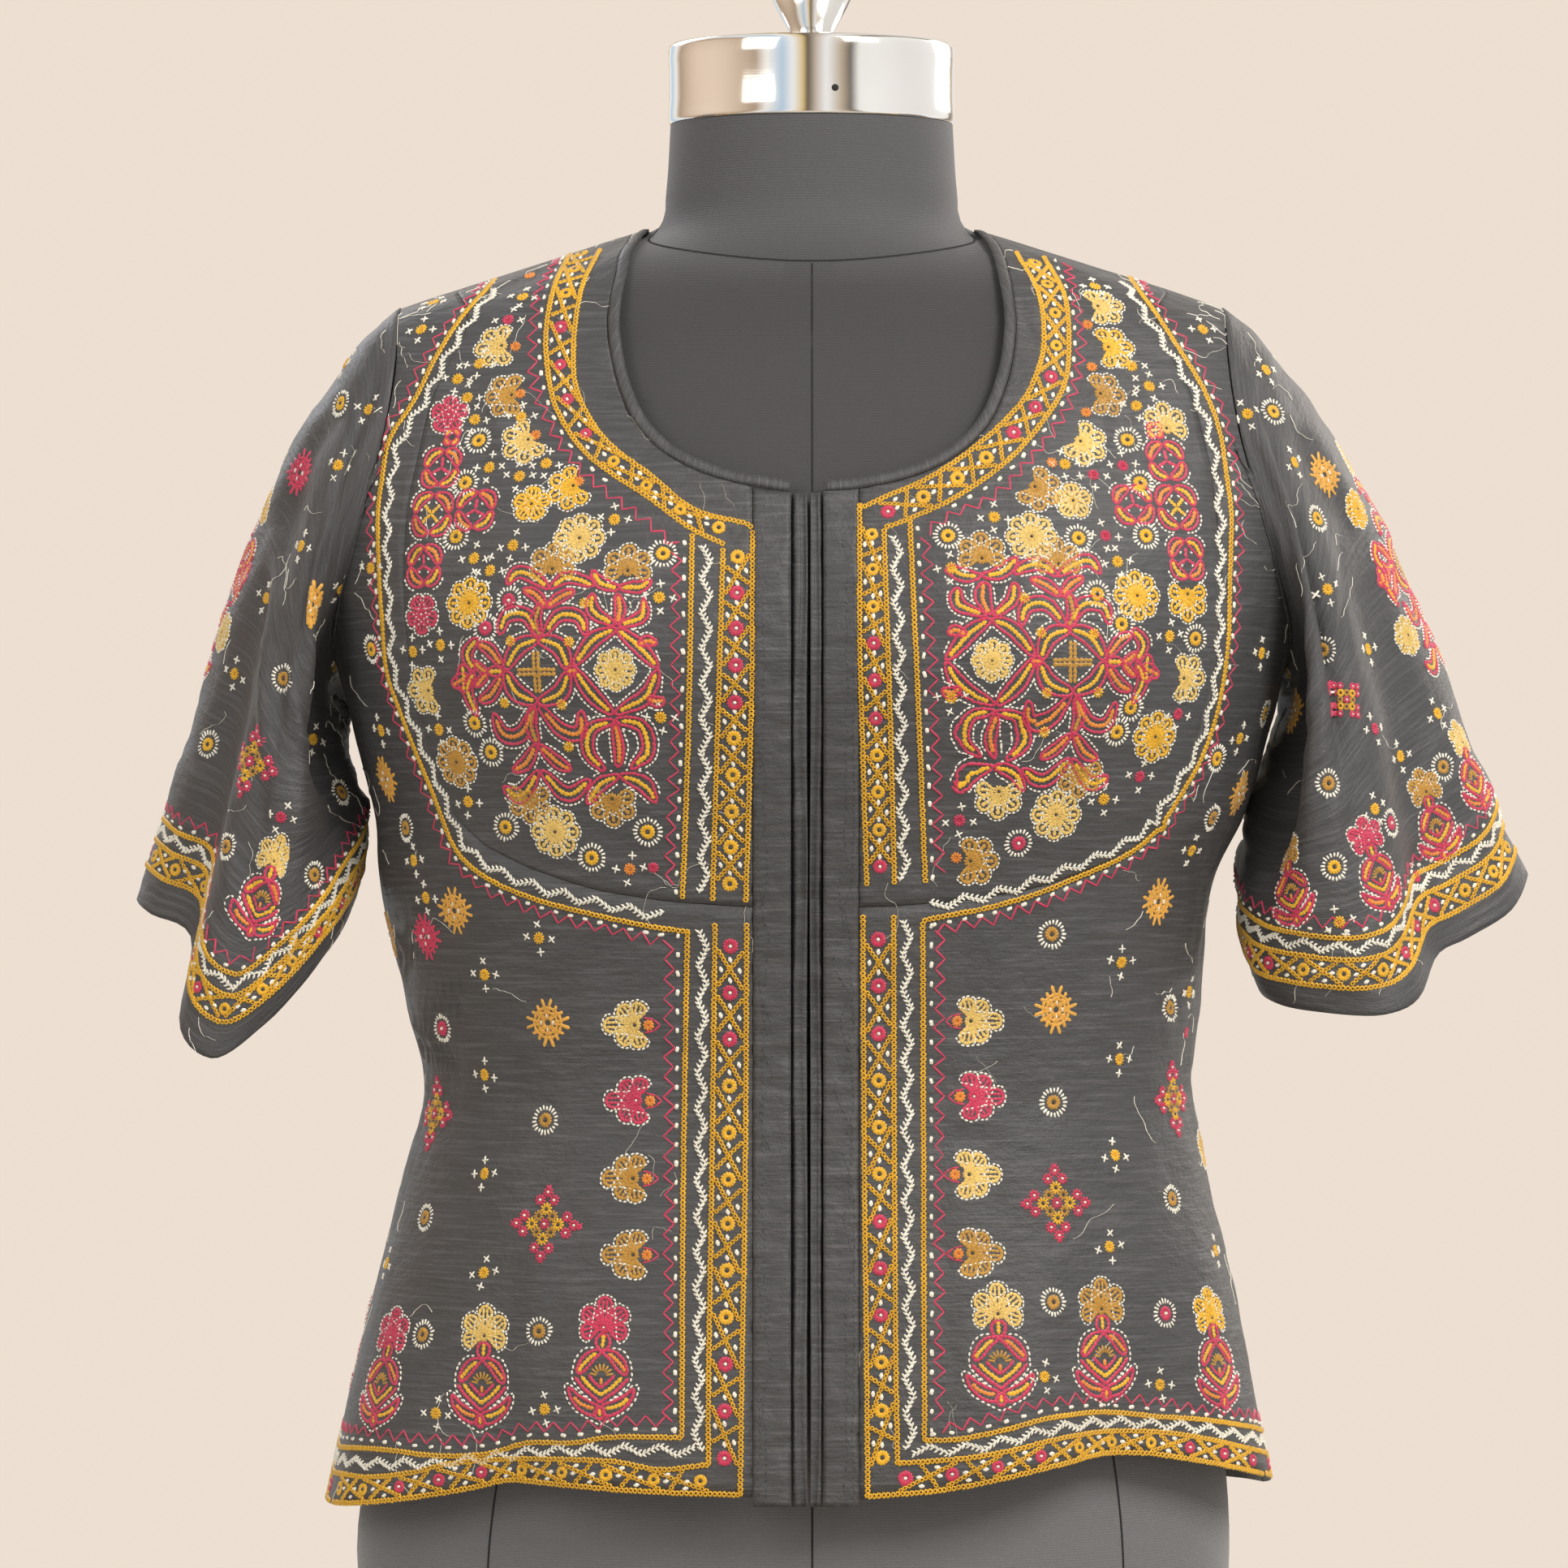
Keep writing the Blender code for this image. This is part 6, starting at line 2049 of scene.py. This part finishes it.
# Motifs that the photograph shows on the sleeves: kind, colour, place and turn.
SLEEVE_MOTIFS = {
    -1: """
cross yellow 426,447 455,505 416,573 371,673 329,737 431,724 412,821 289,830 386,911
cross crimson 346,1007
cross yellow 362,1160
eyelet yellow 420,497
eyelet gold 350,836
eyelet yellow 256,917
eyelet gold 421,976 278,1043 388,1078
spiky crimson 370,582
spiky amber 385,745
rosette none 308,938
plant light_gold 323,1108,0,0.88
""",
    1: """
eyelet yellow 1569,507 1623,639
eyelet gold 1629,801 1637,965 1778,945
eyelet yellow 1644,1068
eyelet crimson 1714,1014
cross yellow 1560,456 1537,510 1595,570 1636,726 1685,800
cross crimson 1694,898
cross yellow 1725,932 1771,879 1694,997
cross crimson 1745,1080
cross yellow 1650,1136 1587,829
spiky amber 1632,585 1596,876
rosette none 1659,862,20,0.62
plant light_gold 1815,958,0,0.8
plant gold 1769,1018,0,0.8
plant crimson 1699,1078,0,0.8
plant gold 1590,1098,0,0.8
""",
}


def make_sleeve_embroidery(side):
    ground = Ground(f"sleeve_{SIDE_WORD[side]}")
    grid = SLEEVE_GRIDS[side]
    step = np.linalg.norm(np.diff(grid, axis=0), axis=2)[::-1]
    from_cuff = np.concatenate([np.zeros((1, grid.shape[1])), np.cumsum(step, axis=0)])

    def row(distance):
        """A line round the sleeve at a distance from its cuff."""
        return np.array([
            [np.interp(distance * MM, from_cuff[:, c], grid[::-1, c, k]) for k in range(3)]
            for c in range(grid.shape[1])
        ])

    rows = dict(zip(("C", "B", "feather", "A", "seeds", "zigzag"), map(row, SLEEVE_ROWS[side])))
    for name in "ABC":
        chain(ground, rows[name], "yellow")
    braid(ground, rows["feather"])
    seeds(ground, rows["seeds"])
    zigzag(ground, rows["zigzag"])
    round_cuff = np.linalg.norm(np.diff(rows["C"], axis=0), axis=1).sum() / MM
    ladder(ground, rows["B"], rows["C"], ("yyyrrr" * 6)[: int(round_cuff / LADDER_PITCH)])
    up = (-0.40 * side, 0, 0.92)
    draw_table(ground, SLEEVE_MOTIFS[side], up)
    ahead = -1 * MM if side > 0 else 20 * MM
    beyond = Motif(ground, (side * 270 * MM, ahead, 513 * MM), up, 0, 0.88, side)
    large_figure(beyond)
    for x, y, colour in ((-8, 58, "light gold"), (36, 58, "gold"), (-36, 32, "yellow"),
                         (-32, -34, "light gold")):
        flower(Motif(ground, beyond.at([(x, y)])[0], up, 0, 0.8), colour)
    hidden = Motif(ground, (side * 220 * MM, 0.14, 440 * MM), up)
    kinds = ("cross", "eyelet", "rosette", "cross", "spiky", "cross")
    for j in range(-3, 4):
        for i in range(-1, 2):
            place = hidden.at([(38 * i + 12 * (j % 2), 34 * j)])[0]
            kind = kinds[(2 * i + 3 * j) % 6]
            draw_motif(kind, "amber" if kind == "spiky" else "gold", Motif(ground, place, up))
    turns = grid.shape[1] - 1
    for k, colour in enumerate(("light gold", "crimson", "gold", "yellow")):
        column = (turns * 5 // 8 + k * turns // 10) % turns
        place = [np.interp(78 * MM, from_cuff[:, column], grid[::-1, column, n]) for n in range(3)]
        plant(Motif(ground, place, up, 0, 0.84), colour)
    return ground


def area_light(name, place, aim, size, watts, colour):
    data = bpy.data.lights.new(name, "AREA")
    data.shape = "RECTANGLE"
    data.size, data.size_y = size
    data.energy = watts
    data.color = linear(colour)[:3]
    light = bpy.data.objects.new(name, data)
    light.location = place
    light.rotation_euler = (Vector(aim) - Vector(place)).to_track_quat("-Z", "Y").to_euler()
    bpy.context.scene.collection.objects.link(light)


def make_studio():
    """Camera, soft lights, plain pale floor and a pale surround with brighter and darker bands."""
    scene = bpy.context.scene
    data = bpy.data.cameras.new("camera")
    data.sensor_width = SENSOR
    data.lens = LENS
    camera = bpy.data.objects.new("camera", data)
    camera.location = CAMERA
    camera.rotation_euler = (math.radians(90), 0, 0)
    scene.collection.objects.link(camera)
    scene.camera = camera
    scene.view_settings.view_transform = "Standard"

    area_light("key", (1.9, -2.2, 2.6), (0, 0, 0.4), (1.5, 1.5), 102, "#FFFBF6")
    area_light("fill", (-2.2, -2.3, 1.9), (0, 0, 0.4), (1.6, 1.8), 34, "#FFFAF4")
    area_light("back_left", (-1.6, 2.3, 2.2), (0, 0, 0.4), (1.5, 1.5), 26, "#FBF9FF")
    area_light("back_right", (2.0, 2.0, 1.6), (0, 0, 0.4), (1.5, 1.5), 30, "#FFF6EE")

    bpy.ops.mesh.primitive_circle_add(
        vertices=128, radius=FLOOR_RADIUS, fill_type="NGON", location=(0, 0, -0.2 * MM)
    )
    floor = bpy.context.active_object
    floor.name = "floor"
    floor.data.materials.append(flat_material("pale floor", 500, 4.0, "#B9B1A5", "#C4BDB1"))

    world = bpy.data.worlds.new("studio")
    world.use_nodes = True
    scene.world = world
    tree = world.node_tree
    tree.nodes.remove(tree.nodes["Background"])
    across = add_node(tree, "SeparateXYZ", "X", {
        "Vector": add_node(tree, "TexCoord", "Generated")})
    share = add_node(tree, "MapRange", "Result", {"Value": across, "From Min": -1.0})
    bands = add_node(tree, "ValToRGB", "Color", {"Fac": share}, REFLECTION_BANDS)
    # What is mirrored, what lights dull faces, and what the camera sees
    mirrored, soft, plain = (
        add_node(tree, "Background", 0, {"Color": colour, "Strength": strength})
        for colour, strength in (
            (bands, 1.0), (linear("#F1F0EE"), 0.66), (linear("#F0E2D4"), 0.97))
    )
    glossy, seen = (add_node(tree, "LightPath", f"Is {ray} Ray") for ray in ("Glossy", "Camera"))
    first = add_node(tree, "MixShader", 0, {0: glossy, 1: soft, 2: mirrored})
    second = add_node(tree, "MixShader", 0, {0: seen, 1: first, 2: plain})
    tree.links.new(second, tree.nodes["World Output"].inputs["Surface"])


def main():
    silk = silk_material()
    jersey = jersey_material()
    chrome = chrome_material()
    board = board_material()
    shadow = flat_material("shadow in seams", 2, 3.0, "#1C1C1D", "#2C2C2E")
    make_studio()
    make_form_cover(jersey)
    make_form_seams(shadow)
    make_neck_cap(chrome, shadow)
    for slot in frame["nodes"]["form_base"].material_slots:
        slot.material = board
    for side in (-1, 1):
        make_cup(side, silk)
        make_front(side, silk)
        make_front_strips(side, silk)
        make_sleeve(side, silk)
    make_back(silk)
    make_neck_binding(silk)
    body = Ground("body")
    for name in EDGE_LINES:
        make_front_borders(body, name)
    draw_table(body, FRONT_MOTIFS)
    for flip, middle, chain_middle in ((1, (661, 828), (531, 633)), (-1, (1322, 816), (1450, 625))):
        large_figure(Motif(body, body.seen(*middle), flip=flip))
        side_chain(Motif(body, body.seen(*chain_middle), flip=flip))
    for px, py in ((553, 511), (520, 757)):
        flower(Motif(body, body.seen(px, py), turn=0 if py < 600 else 180), "crimson", 5, 8.0)
    make_back_embroidery(body)
    bands = Ground("bands")
    for side, edge in FRONT_EDGE.items():
        for inset in (1.6 * MM, 5.4 * MM):
            heights = np.linspace(BAND_BOTTOM + 3 * MM, 0.528, 60)
            line = np.stack([np.full(60, side * (edge - inset)), np.full(60, -0.14), heights], 1)
            running(bands, bands.settle(line)[0], "charcoal", 3.2, 0.7, 0.9, 0.5)
    sleeves = [make_sleeve_embroidery(side) for side in (-1, 1)]
    for ground, count in [(body, 260)] + [(sleeve, 70) for sleeve in sleeves]:
        loose_threads(ground, ground.points[RNG.integers(0, len(ground.points), count)])
    make_threads()
    for obj in bpy.context.scene.objects:
        if obj.name.startswith("silk_"):
            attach(obj, "root")


main()
bpy.context.view_layer.update()
